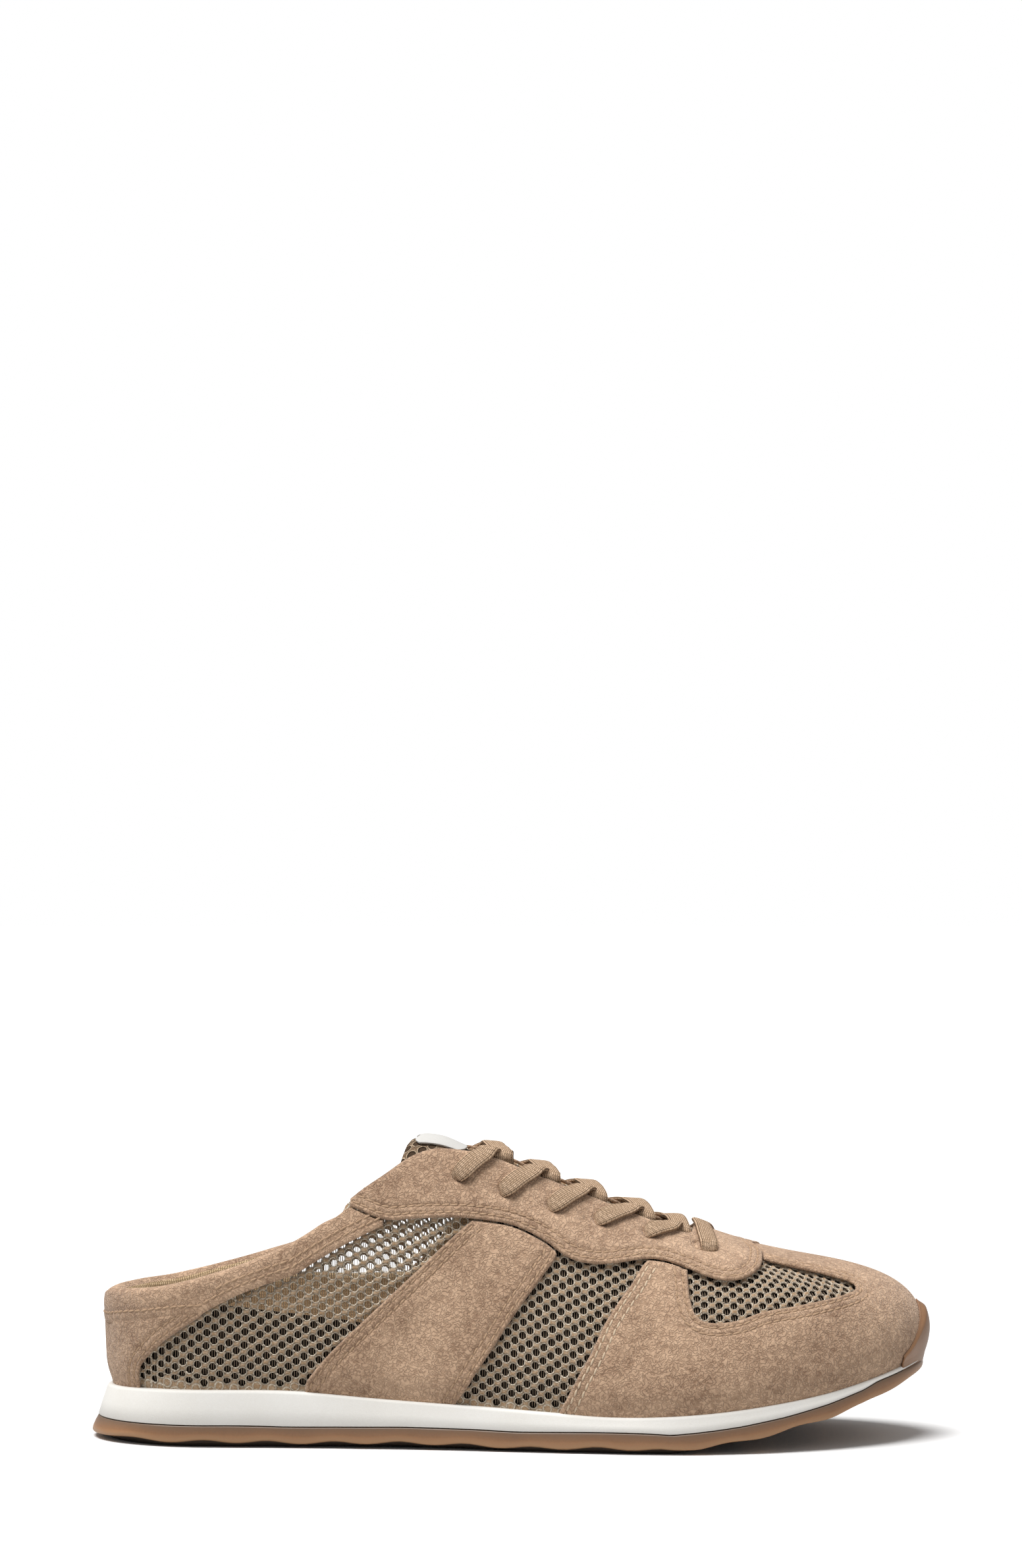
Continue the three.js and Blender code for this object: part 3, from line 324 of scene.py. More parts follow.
# Outsole: brown gum rubber, moulded with a wavy tread edge and cross grooves, and cemented under the foam.
# SOLE gives, along the length, the floor clearance, the tread's height and how far the foam's foot stands out.
SOLE = {
    "at": [0, .06, .13, .20, .24, .30, .38, .46, .51, .69, .73, .77, .82, .87, .91, .96, 1],
    "lift": [0, 0, 0, 0, .01, .04, .06, .04, 0, 0, .16, .27, .49, .75, 1, 1.44, 1.84],
    "tread": [.385, .385, .385, .385, .365, .35, .35, .35, .355, .345, .29, .285, .265, .26, .275, .29, .1],
    "foot": [.293, .235, .18, .16, .155, .15, .145, .14, .135, .12, .115, .11, .1, .09, .08, .06, .04],
}
LUG_PITCH = 11.0
GROOVE_WIDTH = 3.0
GROOVE_DEPTH = 1.4
GROOVE_INSET = 5.0
TREAD_INSET = 4.0
SIDE_HEIGHT = 4.85
EDGE_WAVE = 0.9
WAVE_PITCH, WAVE_START = 20.5, 8.0
MIDSOLE_EDGE = 0.9


def underside(x):
    return TOE_SPRING * straight(SOLE, "lift", x / LENGTH)


def parting(x):
    return underside(x) + HEEL_STACK * smooth(SOLE, "tread", x / LENGTH)


def foot_out(x):
    return HEEL_STACK * smooth(SOLE, "foot", x / LENGTH)


def midsole_top(x):
    return feather_height(x) - GAP


def midsole_foot(x):
    return np.minimum(parting(x) + GAP, midsole_top(x) - MIDSOLE_EDGE)


def write_uv(piece, values, name="cloth"):
    layer = piece.data.uv_layers.new(name=name)
    index = np.empty(len(piece.data.loops), int)
    piece.data.loops.foreach_get("vertex_index", index)
    layer.data.foreach_set("uv", values[index].astype(np.float32).ravel())


def tube_faces(count, around, capped=True):
    """Quads along a run of closed rings, and a face over each end where it is capped."""
    faces = [(i * around + j, i * around + (j + 1) % around, (i + 1) * around + (j + 1) % around,
              (i + 1) * around + j) for i in range(count - 1) for j in range(around)]
    if capped:
        faces += [tuple(range(around)), tuple(range((count - 1) * around, count * around))[::-1]]
    return faces


def sole_layer(name, alongs, profile, finish, across=10):
    """Cross sections from the lateral side over the top to the medial side and back underneath."""
    x = last_x(alongs)
    sides = []
    for lap in (2 - alongs, alongs):
        sides.append(np.stack([rim_point(lap, out, z) for out, z in profile(x)], 1))
    left, right = sides[0], sides[1][:, ::-1]
    over = [left[:, -1] * (1 - t) + right[:, 0] * t for t in np.linspace(0, 1, across + 1)[1:-1]]
    under = [right[:, -1] * (1 - t) + left[:, 0] * t for t in np.linspace(0, 1, across + 1)[1:-1]]
    ring = np.concatenate([left, np.stack(over, 1), right, np.stack(under, 1)], 1)
    count, around = ring.shape[:2]
    piece = new_piece(name, ring.reshape(-1, 3), tube_faces(count, around, False), finish)
    rim, top = 5, left.shape[1] - 1
    high = (ring[..., 2] - ring[:, rim:rim + 1, 2]) / (ring[:, top, 2] - ring[:, rim, 2])[:, None].clip(0.5)
    write_uv(piece, np.stack([np.zeros(high.size), np.clip(high, -1, 1).ravel()], 1), "band")
    outward(piece)
    return piece


def own_map(tree, name="cloth"):
    """A piece's own map, whole and then split in two."""
    place = node(tree, "ShaderNodeUVMap", uv_map=name).outputs["UV"]
    apart = tree.nodes.new("ShaderNodeSeparateXYZ")
    tree.links.new(place, apart.inputs[0])
    return place, apart.outputs[0], apart.outputs[1]


gum, tree, shader = grained("gum rubber", "ad7f5a", "8f6747", 0.4, 900.0, 45.0, 0.3, 0.5, 0.00003, 0.4)
risen = own_map(tree, "band")[2]
rubber = shader.inputs["Base Color"].links[0].from_socket
# The band map sets the gum's tone up its side: smoky brown at the top and amber lower down. Below the side's
# rim the underside gets a near black-brown painted shade, where the floor shades it.
for low, high, code in ((0.35, 1.0, "75604f"), (0.45, 0.05, "b98f69"), (-0.06, -0.14, "463a31")):
    rubber = blend(tree, spread_to(tree, risen, low, high), rubber, colour(code))
tree.links.new(rubber, shader.inputs["Base Color"])
shader.inputs["Subsurface Weight"].default_value = 0.2
shader.inputs["Subsurface Radius"].default_value = (0.004, 0.002, 0.001)
shader.inputs["Coat Weight"].default_value = 0.12
shader.inputs["Coat Roughness"].default_value = 0.35


def heel_out(x):
    return HEEL_EDGE * (1 - ease(x / HEEL_ROUND))


def tread_profile(x):
    low, top, out = underside(x), midsole_foot(x) - GAP, foot_out(x)
    cut = np.zeros_like(x)
    for groove in np.arange(LUG_PITCH, LENGTH * 0.93, LUG_PITCH):
        cut += GROOVE_DEPTH * (np.abs(x - groove) < GROOVE_WIDTH / 2)
    flare = heel_out(x)
    wave = EDGE_WAVE * (0.5 - 0.5 * np.cos(2 * np.pi * (x - WAVE_START) / WAVE_PITCH))
    wave *= 1 - ease((x / LENGTH - 0.95) / 0.03)
    rim = np.maximum(low + 0.25, top - SIDE_HEIGHT) + wave
    tall = top - rim
    return [(out - GROOVE_INSET - 0.4, low + cut), (out - GROOVE_INSET + 0.2, low), (out - TREAD_INSET, low),
            (out - 1.6, low + 0.62 * (rim - low)), (out - 0.5 + flare * 0.8, rim - 0.18),
            (out - 0.12 + flare * 0.95, rim), (out + flare, rim + np.minimum(0.35, 0.2 * tall)),
            (out + 0.1 + flare * 0.8, rim + 0.3 * tall),
            (out + 0.08 + flare * 0.4, rim + 0.65 * tall), (out + 0.05, rim + 0.93 * tall), (out - 0.15, top)]


groove_at = np.arange(LUG_PITCH, LENGTH * 0.93, LUG_PITCH)
marks = np.concatenate([groove_at + s * (GROOVE_WIDTH / 2 + d) for s in (-1, 1) for d in (-0.06, 0.06)])
tread_alongs = np.unique(np.concatenate([np.linspace(0, 1, 150), along_of(marks)]))
tread = sole_layer("outsole_gum", tread_alongs, tread_profile, gum)
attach(tread, "root")

# Bumper: the outsole's own rubber turned up over the toe and cemented to the toe cap. It is moulded thinner
# to its edges, and highest in the middle of the toe.
BUMPER = {"at": [0.895, 0.910, 0.930, 0.950, 0.970, 0.985, 1.000],
          "top": [0.020, 0.038, 0.085, 0.150, 0.225, 0.275, 0.292]}
BUMPER_THICK = 1.6
laps = np.linspace(BUMPER["at"][0], 2 - BUMPER["at"][0], 90)
alongs = np.where(laps > 1, 2 - laps, laps)
rise = np.linspace(0, 1, 24)
top = smooth(BUMPER, "top", alongs)
start = SUEDE + 2 * GAP
rows_out, rows_in = [], []
for t in rise:
    round_off = (1 - 0.8 * ease((t - 0.7) / 0.3)) * (1 - 0.7 * ease((np.abs(laps - 1) - 0.015) / 0.06))
    round_off *= 0.75 + 0.25 * ease(t / 0.5)
    tuck_in = 0.27 * ease((t - 0.7) / 0.3)
    g = 0.005 + (top - 0.005) * t
    rows_out.append(over_last(laps, g, start - tuck_in + BUMPER_THICK * round_off))
    rows_in.append(over_last(laps, g, start - tuck_in))
foot = rim_point(laps, 0.6, underside(last_x(alongs)) + 0.6)
rows_out.insert(0, foot)
rows_in.insert(0, rim_point(laps, -2.0, underside(last_x(alongs)) + 0.6))
skin = np.stack(rows_out + rows_in[::-1], 1)
count, around = skin.shape[:2]
bumper = new_piece("outsole_bumper", skin.reshape(-1, 3), tube_faces(count, around), gum)
write_uv(bumper, np.full((count * around, 2), 0.55), "band")
outward(bumper)
finished(bumper, "outsole")

# Midsole: white moulded foam, wider at its foot than at its top, so that its side leans in. It is cemented
# under the upper and thins to nothing behind the bumper.
foam = grained("white foam", "f6f4ef", "e9e5dd", 0.6, 1500.0, 40.0, 0.3, 0.5, 0.00005, 0.3)[0]


def foam_profile(x):
    low, top, out = midsole_foot(x), midsole_top(x), foot_out(x)
    return [(out * 0.97 - 1.0, low), (out * 0.97 - 0.12, low),
            (out * 0.97, low + np.minimum(0.2, (top - low) * 0.2)),
            (out * 0.7, low + (top - low) * 0.45), (out * 0.38, top - np.minimum(0.9, (top - low) * 0.3)),
            (out * 0.3, top - np.minimum(0.35, (top - low) * 0.2)), (out * 0.15 - 0.3, top - 0.02),
            (out * 0.15 - 1.0, top)]


midsole = sole_layer("midsole_foam", np.linspace(0, 1, 150), foam_profile, foam)
finished(midsole, "midsole")

# Insole: a sock of tan woven lining over foam, cut to the last's outline less the upper's wall, and laid in
# loose on the upper's turned in edge.
sock = grained("sock lining", "a58b70", "7d6752", 0.95, 1400.0, 30.0, 0.7, 0.2, 0.00025, 0.2)[0]
INSOLE_THICK, SOCK_INSET = 4.5, 2.0


def sock_profile(x):
    z = feather_height(x)
    edge = -(SOCK_INSET + WALL + 2 * GAP)
    return [(edge - 1.0, z), (edge, z + 0.4), (edge, z + INSOLE_THICK * 0.7),
            (edge - 0.5, z + INSOLE_THICK * 0.95), (edge - 1.6, z + INSOLE_THICK)]


insole = sole_layer("insole_sock", np.linspace(0, 1, 90), sock_profile, sock)
finished(insole, "insole")

# Upper: one piece of open macro mesh, lasted over the form, with a tall round hole every 4.8 mm along its
# rows. It is stitched under the suede. The flat pattern spreads each girth line out from the ridge.
LAP_GRID = np.linspace(0, 2, 1201)
GIRTH_GRID = np.linspace(0, 1, 101)
form = last_point(LAP_GRID[:, None], GIRTH_GRID[None, :])
girth_steps = np.linalg.norm(np.diff(form, axis=1), axis=2)
from_feather = np.concatenate([np.zeros((len(LAP_GRID), 1)), np.cumsum(girth_steps, 1)], 1)
from_ridge = from_feather[:, -1:] - from_feather
ridge_xy = form[:, -1, :2]
aim = form[:, 0, :2] - ridge_xy
aim /= np.linalg.norm(aim, axis=1, keepdims=True)
belt = last_point(LAP_GRID, 0.33)
belt_steps = np.linalg.norm(np.diff(belt, axis=0), axis=1)
round_belt = np.concatenate([[0], np.cumsum(belt_steps)])


def grid_value(table, lap, girth):
    i = np.clip(lap / LAP_GRID[1], 0, len(LAP_GRID) - 1.001)
    j = np.clip(girth / GIRTH_GRID[1], 0, len(GIRTH_GRID) - 1.001)
    i0, j0 = i.astype(int), j.astype(int)
    a, b = i - i0, j - j0
    return ((table[i0, j0] * (1 - a) + table[i0 + 1, j0] * a) * (1 - b)
            + (table[i0, j0 + 1] * (1 - a) + table[i0 + 1, j0 + 1] * a) * b)


def unified(lap, girth):
    crossed = girth > 1
    return np.where(crossed, 2 - lap, lap) % 2, np.where(crossed, 2 - girth, girth)


def flat_pattern(lap, girth):
    lap, girth = unified(np.asarray(lap, float), np.asarray(girth, float))
    reach = grid_value(from_ridge, lap, girth) + np.maximum(-girth, 0) * INSTEP_HEIGHT
    i = np.clip(lap / LAP_GRID[1], 0, len(LAP_GRID) - 1.001)
    i0 = i.astype(int)
    a = (i - i0)[:, None]
    start = ridge_xy[i0] * (1 - a) + ridge_xy[i0 + 1] * a
    way = aim[i0] * (1 - a) + aim[i0 + 1] * a
    return start + way * reach[:, None]


def cloth_place(lap, girth):
    """Millimetres round the belt from the heel, and up the girth from the feather line."""
    lap, girth = unified(np.asarray(lap, float), np.asarray(girth, float))
    up = grid_value(from_feather, lap, girth) + np.minimum(girth, 0) * INSTEP_HEIGHT
    return np.interp(lap, LAP_GRID, round_belt), up


def from_cloth(along_belt, up):
    lap = np.interp(along_belt, round_belt, LAP_GRID)
    whole = grid_value(from_feather, lap, np.ones_like(lap))
    girth = np.clip(up / whole, 0, 1)
    for _ in range(6):
        e = 0.004
        g0, g1 = np.clip(girth - e, 0, 1), np.clip(girth + e, 0, 1)
        rate = (grid_value(from_feather, lap, g1) - grid_value(from_feather, lap, g0)) / (g1 - g0)
        girth = np.clip(girth + (up - grid_value(from_feather, lap, girth)) / rate, 0.0, 1.0)
    return lap, girth


def drawn(points, pitch, soft=0):
    """An open line through (lap, girth) points, at an even pitch on the last."""
    points = np.array(points, float)
    share = np.linspace(0, 1, 12, endpoint=False)[:, None]
    dense = np.concatenate([a + (b - a) * share for a, b in zip(points[:-1], points[1:])] + [points[-1:]])
    place = over_last(dense[:, 0], dense[:, 1], 0)
    run = np.concatenate([[0], np.cumsum(np.linalg.norm(np.diff(place, axis=0), axis=1))])
    count = max(2, int(round(run[-1] / pitch)) + 1)
    at = np.linspace(0, run[-1], count)
    line = np.stack([np.interp(at, run, dense[:, 0]), np.interp(at, run, dense[:, 1])], 1)
    for _ in range(soft):
        line[1:-1] = line[1:-1] * 0.5 + (line[:-2] + line[2:]) * 0.25
    return line


def inside(points, loop):
    """Which flat points lie within a closed flat loop."""
    a, b = loop, np.roll(loop, -1, 0)
    result = np.zeros(len(points), bool)
    for k in range(0, len(points), 4000):
        p = points[k:k + 4000]
        y = p[:, 1:2]
        over = (a[:, 1] > y) != (b[:, 1] > y)
        with np.errstate(divide="ignore", invalid="ignore"):
            x = a[:, 0] + (y - a[:, 1]) * (b[:, 0] - a[:, 0]) / (b[:, 1] - a[:, 1])
        result[k:k + 4000] = (over & (p[:, 0:1] < x)).sum(1) % 2 == 1
    return result


def distance_to(points, marks):
    tree = kdtree.KDTree(len(marks))
    for k, p in enumerate(marks.tolist()):
        tree.insert(p, k)
    tree.balance()
    return np.array([tree.find(p)[2] for p in points.tolist()])


def shifted(line, way, amount):
    """A (lap, girth) line moved sideways over the last, in millimetres, to its left for way 1."""
    lap, girth = line[:, 0].copy(), line[:, 1].copy()
    place = over_last(lap, girth, 0)
    run = np.gradient(place, axis=0)
    up = normal_at(lap, girth)
    side = np.cross(up, run)
    side /= np.linalg.norm(side, axis=1, keepdims=True)
    goal = place + side * way * amount
    for _ in range(3):
        e = 0.0008
        here = over_last(lap, girth, 0)
        j_lap = (over_last(lap + e, girth, 0) - over_last(lap - e, girth, 0)) / (2 * e)
        j_girth = (over_last(lap, girth + e, 0) - over_last(lap, girth - e, 0)) / (2 * e)
        miss = goal - here
        a, b, c = (j_lap * j_lap).sum(1), (j_lap * j_girth).sum(1), (j_girth * j_girth).sum(1)
        p, q = (j_lap * miss).sum(1), (j_girth * miss).sum(1)
        det = a * c - b * b
        lap += (c * p - b * q) / det
        girth += (a * q - b * p) / det
    return np.stack([lap, girth], 1)


def lattice(pitch):
    """Points over the whole last, about a pitch apart."""
    found = []
    span = round_belt[-1]
    for n, s in enumerate(np.arange(0, span, pitch * 0.87)):
        lap = np.interp(s, round_belt, LAP_GRID)
        height = np.interp(lap, LAP_GRID, from_feather[:, -1])
        up = np.arange((n % 2) * pitch / 2 - 2, height + pitch / 2, pitch)
        girth = np.interp(up, from_feather[int(lap / LAP_GRID[1])], GIRTH_GRID)
        girth = np.where(up < 0, up / INSTEP_HEIGHT, girth)
        found.append(np.stack([np.full(len(up), lap), girth], 1))
    found = np.concatenate(found)
    place = over_last(found[:, 0], found[:, 1], 0)
    cell = np.floor(place / (pitch * 0.62)).astype(int)
    _, keep = np.unique(cell, axis=0, return_index=True)
    return found[np.sort(keep)]


def cut(loop, extra, holes=(), clear=0.5):
    """Triangles of a piece cut along a closed (lap, girth) loop, with inner points and round holes."""
    flat_loop = flat_pattern(loop[:, 0], loop[:, 1])
    keep = np.linalg.norm(flat_loop - np.roll(flat_loop, 1, 0), axis=1) > 0.02
    loop, flat_loop = loop[keep], flat_loop[keep]
    flat_extra = flat_pattern(extra[:, 0], extra[:, 1])
    good = inside(flat_extra, flat_loop)
    extra = extra[good]
    rims = np.concatenate([loop] + list(holes))
    far = distance_to(over_last(extra[:, 0], extra[:, 1], 0), over_last(rims[:, 0], rims[:, 1], 0)) > clear
    extra = extra[far]
    points = [loop]
    edges = [(k, (k + 1) % len(loop)) for k in range(len(loop))]
    group = [np.zeros(len(loop), int)]
    base = len(loop)
    for n, hole in enumerate(holes):
        points.append(hole)
        group.append(np.full(len(hole), n + 1))
        edges += [(base + k, base + (k + 1) % len(hole)) for k in range(len(hole))]
        base += len(hole)
    points = np.concatenate(points + [extra])
    group = np.concatenate(group + [np.full(len(extra), -1)])
    flat = flat_pattern(points[:, 0], points[:, 1])
    made = geometry.delaunay_2d_cdt([Vector(p) for p in flat.tolist()], edges, [], 0, 1e-5, True)
    origin = np.array([o[0] if o else -1 for o in made[3]])
    faces = origin[np.array([f for f in made[2] if len(f) == 3])]
    faces = faces[(faces >= 0).all(1)]
    middle = flat[faces].mean(1)
    rim_of = group[faces]
    in_hole = (rim_of[:, 0] > 0) & (rim_of[:, 0] == rim_of[:, 1]) & (rim_of[:, 1] == rim_of[:, 2])
    faces = faces[inside(middle, flat_loop) & ~in_hole]
    a, b, c = (flat[faces[:, k]] for k in range(3))
    turn = (b[:, 0] - a[:, 0]) * (c[:, 1] - a[:, 1]) - (b[:, 1] - a[:, 1]) * (c[:, 0] - a[:, 0])
    faces = faces[np.abs(turn) > 1e-6]
    turn = turn[np.abs(turn) > 1e-6]
    faces[turn < 0] = faces[turn < 0][:, ::-1]
    return points, faces, group


OPENING = {
    "at": [0, .05, .11, .18, .23, .29, .33, .36, .38, .40, .42, .436, .462, .52, .56, .61, .64, .652, .66],
    "lateral": [.134, .143, .152, .172, .207, .283, .362, .448, .518, .58, .65, .688, .712, .76, .783, .793,
                .8, .84, 1],
    "medial": [.134, .141, .148, .164, .196, .264, .328, .405, .475, .548, .63, .68, .712, .76, .783, .793,
               .8, .84, 1],
}
EYESTAY = {
    "at": [.369, .402, .424, .452, .473, .508, .526, .541, .563, .588, .609, .624, .644, .669, .688, .711,
           .726, .738, .752, .762],
    "edge": [.47, .443, .459, .48, .497, .522, .512, .488, .494, .534, .575, .587, .576, .548, .553, .612,
             .69, .79, .9, 1],
}
COLLAR = {"at": [0.000, 0.060, 0.150, 0.231, 0.269, 0.325, 0.354, 0.369, 0.400],
          "low": [.077, .079, .096, .124, .181, .262, .334, .370, .437]}
EYELETS = [(0.459, 0.616), (0.494, 0.625), (0.531, 0.650), (0.568, 0.677), (0.609, 0.704), (0.657, 0.736)]
EYELET_RADIUS = 2.2
THROAT_END = 0.66
HOLE_WIDE, HOLE_HIGH = 2.15, 2.50


def open_edge(along, lateral):
    both = np.where(lateral, smooth(OPENING, "lateral", along), smooth(OPENING, "medial", along))
    return np.where(along >= THROAT_END - 1e-6, 1.0, np.minimum(both, 1))


def eyestay_low(along):
    return np.where(along >= 0.7619, 1.0, np.minimum(1, smooth(EYESTAY, "edge", along)))


def on_side(points, lateral):
    """Points given by along and girth, as lap and girth on one side."""
    points = np.array(points, float)
    return np.stack([2 - points[:, 0], points[:, 1]], 1) if lateral else points


def eyestay_part(a, b, count=40):
    at = np.linspace(a, b, count)
    return np.stack([at, eyestay_low(at) - 0.004], 1)


def side_loop(parts, lateral):
    return [drawn(on_side(points, lateral), EDGE_STEP, soft) for points, soft in parts]


# Suede panels as cut: each a closed line, on one side or on both through the ridge or toe
EDGE_STEP = 0.8
SIDES = (("lateral", True), ("medial", False))
edge_lines = {}
for name, lateral in SIDES:
    at = np.linspace(0.372, 0.762, 66)
    low = np.stack([at, eyestay_low(at)], 1)
    low[-1, 1] = 1.0
    at = np.linspace(0.372, 0.658, 48)
    top = np.vstack([np.stack([at, open_edge(at, lateral)], 1), [THROAT_END, 1.0]])
    edge_lines["eyestay low " + name] = drawn(on_side(low, lateral), EDGE_STEP)
    edge_lines["eyestay top " + name] = drawn(on_side(top, lateral), EDGE_STEP, 2)
eyestay_loop = np.concatenate([
    edge_lines["eyestay low lateral"], edge_lines["eyestay low medial"][::-1][1:],
    edge_lines["eyestay top medial"], edge_lines["eyestay top lateral"][::-1][1:]])
stripe_rear = [(.333, -.02), (.335, .014), (.348, .057), (.388, .192), (.433, .349), (.457, .44),
               (.465, .472), (.47, .492)]
stripe_front = [(.457, -.02), (.459, .012), (.465, .047), (.475, .11), (.487, .177), (.503, .274),
                (.523, .394), (.534, .47), (.5355, .494)]
COUNTER_EDGE = [(.136, -.02), (.137, .004), (.142, .013), (.161, .029), (.203, .072), (.229, .106),
                (.236, .1225)]
CAP_REAR = [(.537, -.02), (.539, .022), (.551, .13), (.562, .215), (.573, .316), (.585, .4), (.594, .459),
            (.603, .54), (.607, .566)]
WINDOW = [(.6435, .572), (.6435, .52), (.644, .44), (.6475, .375), (.655, .347), (.668, .339), (.688, .35),
          (.711, .386), (.726, .398), (.738, .404), (.762, .42), (.81, .458), (.838, .49), (.847, .515),
          (.851, .548), (.848, .58), (.838, .618), (.81, .684), (.785, .726), (.762, .75), (.738, .772)]


panels = {}
for name, lateral in SIDES:
    rear, over, front, under = side_loop([
        (stripe_rear, 2), (eyestay_part(0.470, 0.5355), 0), (stripe_front[::-1], 2),
        ([(0.457, -0.02), (0.333, -0.02)], 0)], lateral)
    panels["stripe " + name] = np.concatenate([rear, over, front, under])
    edge_lines["stripe rear " + name] = rear
    edge_lines["stripe front " + name] = front
cap = {}
for name, lateral in SIDES:
    cap[name] = side_loop([
        (CAP_REAR, 2), (eyestay_part(0.607, 0.6435), 0), (WINDOW, 3),
        (np.vstack([WINDOW[-1], eyestay_part(0.741, 0.758, 12), [0.762, 0.996], [0.764, 1.0]]), 1)], lateral)
    edge_lines["cap rear " + name] = cap[name][0]
    edge_lines["window " + name] = cap[name][2]
toe_base = drawn([(lap, -0.02) for lap in np.linspace(0.537, 1.463, 120)], EDGE_STEP)
panels["cap"] = np.concatenate(cap["lateral"] + [part[::-1] for part in cap["medial"][::-1]] + [toe_base])
counter_line = drawn(COUNTER_EDGE, EDGE_STEP, 2)
at = np.linspace(0.236, -0.236, 60)
collar_low_line = drawn(np.stack([at, straight(COLLAR, "low", np.abs(at)) - 0.003], 1), EDGE_STEP)
counter_base = drawn([(a, -0.02) for a in np.linspace(-0.136, 0.136, 60)], EDGE_STEP)
counter_other = np.stack([-counter_line[:, 0], counter_line[:, 1]], 1)[::-1]
panels["counter"] = np.concatenate([counter_line, collar_low_line, counter_other, counter_base])
panels["eyestay"] = eyestay_loop
at = np.linspace(-0.40, 0.40, 100)
panels["collar"] = np.concatenate([
    drawn(np.stack([at, straight(COLLAR, "low", np.abs(at))], 1), EDGE_STEP),
    drawn(np.stack([at, open_edge(np.abs(at), at < 0)], 1)[::-1], EDGE_STEP)])

# Holes of the mesh: rows and columns of the knit's own repeat, kept where no suede covers them, and cut a
# little short under the panels' edges. The eyelets go through mesh and suede alike.
ROW = np.array([4.74, -0.75])
COLUMN = np.array([2.50, 1.70])
LATTICE_START = np.array([1.2, 2.3])
covered = {name: flat_pattern(loop[:, 0], loop[:, 1]) for name, loop in panels.items()}
rims = np.concatenate([over_last(loop[:, 0], loop[:, 1], 0) for loop in panels.values()])
holes, hole_centres = [], []
belt_length = round_belt[-1]
for lateral in (True, False):
    i, j = np.meshgrid(np.arange(-80, 80), np.arange(-60, 60))
    cells = np.stack([i.ravel(), j.ravel()], 1)
    place = cells @ np.stack([ROW, COLUMN]) + LATTICE_START
    place = place[(place[:, 0] > 4) & (place[:, 0] < LENGTH) & (place[:, 1] > 1.25) & (place[:, 1] < 90)]
    belt_at = belt_length - place[:, 0] if lateral else place[:, 0]
    lap, girth = from_cloth(belt_at, place[:, 1])
    whole = grid_value(from_feather, lap, np.ones_like(lap))
    ok = (place[:, 1] < whole - 2) & (girth < 0.8)
    place, lap, girth = place[ok], lap[ok], girth[ok]
    flat = flat_pattern(lap, girth)
    hidden = np.zeros(len(flat), bool)
    for loop in covered.values():
        hidden |= inside(flat, loop)
    along = np.where(lap > 1, 2 - lap, lap)
    above = girth > open_edge(along, lateral) - 0.01
    near_edge = distance_to(over_last(lap, girth, 0), rims)
    ok = (~hidden | (near_edge < 1.6)) & ~above & (along > 0.1) & (along < 0.9)
    for centre in place[ok]:
        turn = np.arange(8) / 8 * 2 * np.pi + np.pi / 8
        wide = HOLE_WIDE / 2 * np.sign(np.cos(turn)) * np.abs(np.cos(turn)) ** 0.75
        high = HOLE_HIGH / 2 * np.sin(turn)
        s = centre[0] + wide
        belt_s = belt_length - s if lateral else s
        holes.append(np.stack(from_cloth(belt_s, np.maximum(centre[1] + high, 0.2)), 1))
        hole_centres.append((lateral, centre[0], centre[1]))
eyelet_holes = []
for lateral in (True, False):
    for along, girth in EYELETS:
        turn = np.arange(14) / 14 * 2 * np.pi
        s0, t0 = cloth_place(np.array([2 - along if lateral else along]), np.array([girth]))
        round_hole = from_cloth(s0 + EYELET_RADIUS * np.cos(turn), t0 + EYELET_RADIUS * np.sin(turn))
        eyelet_holes.append(np.stack(round_hole, 1))
top_line = {}
for lateral in (True, False):
    at = np.linspace(0, 0.658, 160)
    line = np.stack([at, open_edge(at, lateral) - np.where(at <= 0.366, 0.026, 0.004)], 1)
    line = np.vstack([line, [0.66, 1.0]])
    top_line[lateral] = line
upper_loop = np.concatenate([
    drawn([(lap, -0.02) for lap in np.linspace(0, 2, 300)], 1.6)[:-1],
    drawn(np.stack([2 - top_line[True][:, 0], top_line[True][:, 1]], 1), 1.2),
    drawn(top_line[False], 1.2)[::-1][1:-1]])

B_ONE, B_TWO = COLUMN, ROW - COLUMN


def lattice_place(s, t):
    """Place in the mesh's own repeat, whole numbers at the middle of each hole."""
    repeat = np.linalg.inv(np.stack([B_ONE, B_TWO]))
    return np.stack([s - LATTICE_START[0], t - LATTICE_START[1]], -1) @ repeat


def thicken(piece, thickness, offset=-1, rim_material=None, back_material=None):
    alone(piece)
    wall = piece.modifiers.new("thickness", "SOLIDIFY")
    wall.thickness = thickness
    wall.offset = offset
    if back_material is not None:
        wall.material_offset = back_material
    if rim_material is not None:
        wall.material_offset_rim = rim_material
    bpy.ops.object.modifier_apply(modifier="thickness")
    piece.select_set(False)


# Yarn: the net's repeat in the cloth's own lattice, with a painted highlight on the raised loops round each
# hole and painted shade in the valley between them.
# It gives that painted light and shade, the yarn's height and how far into a hole a point lies.
def speckled(tree, size, detail, rough=0.5, swirl=0.0):
    """Noise fixed to the piece itself."""
    where = tree.nodes.new("ShaderNodeTexCoord")
    noise = node(tree, "ShaderNodeTexNoise", Scale=size, Detail=detail, Roughness=rough, Distortion=swirl)
    tree.links.new(where.outputs["Object"], noise.inputs["Vector"])
    return noise.outputs["Fac"]


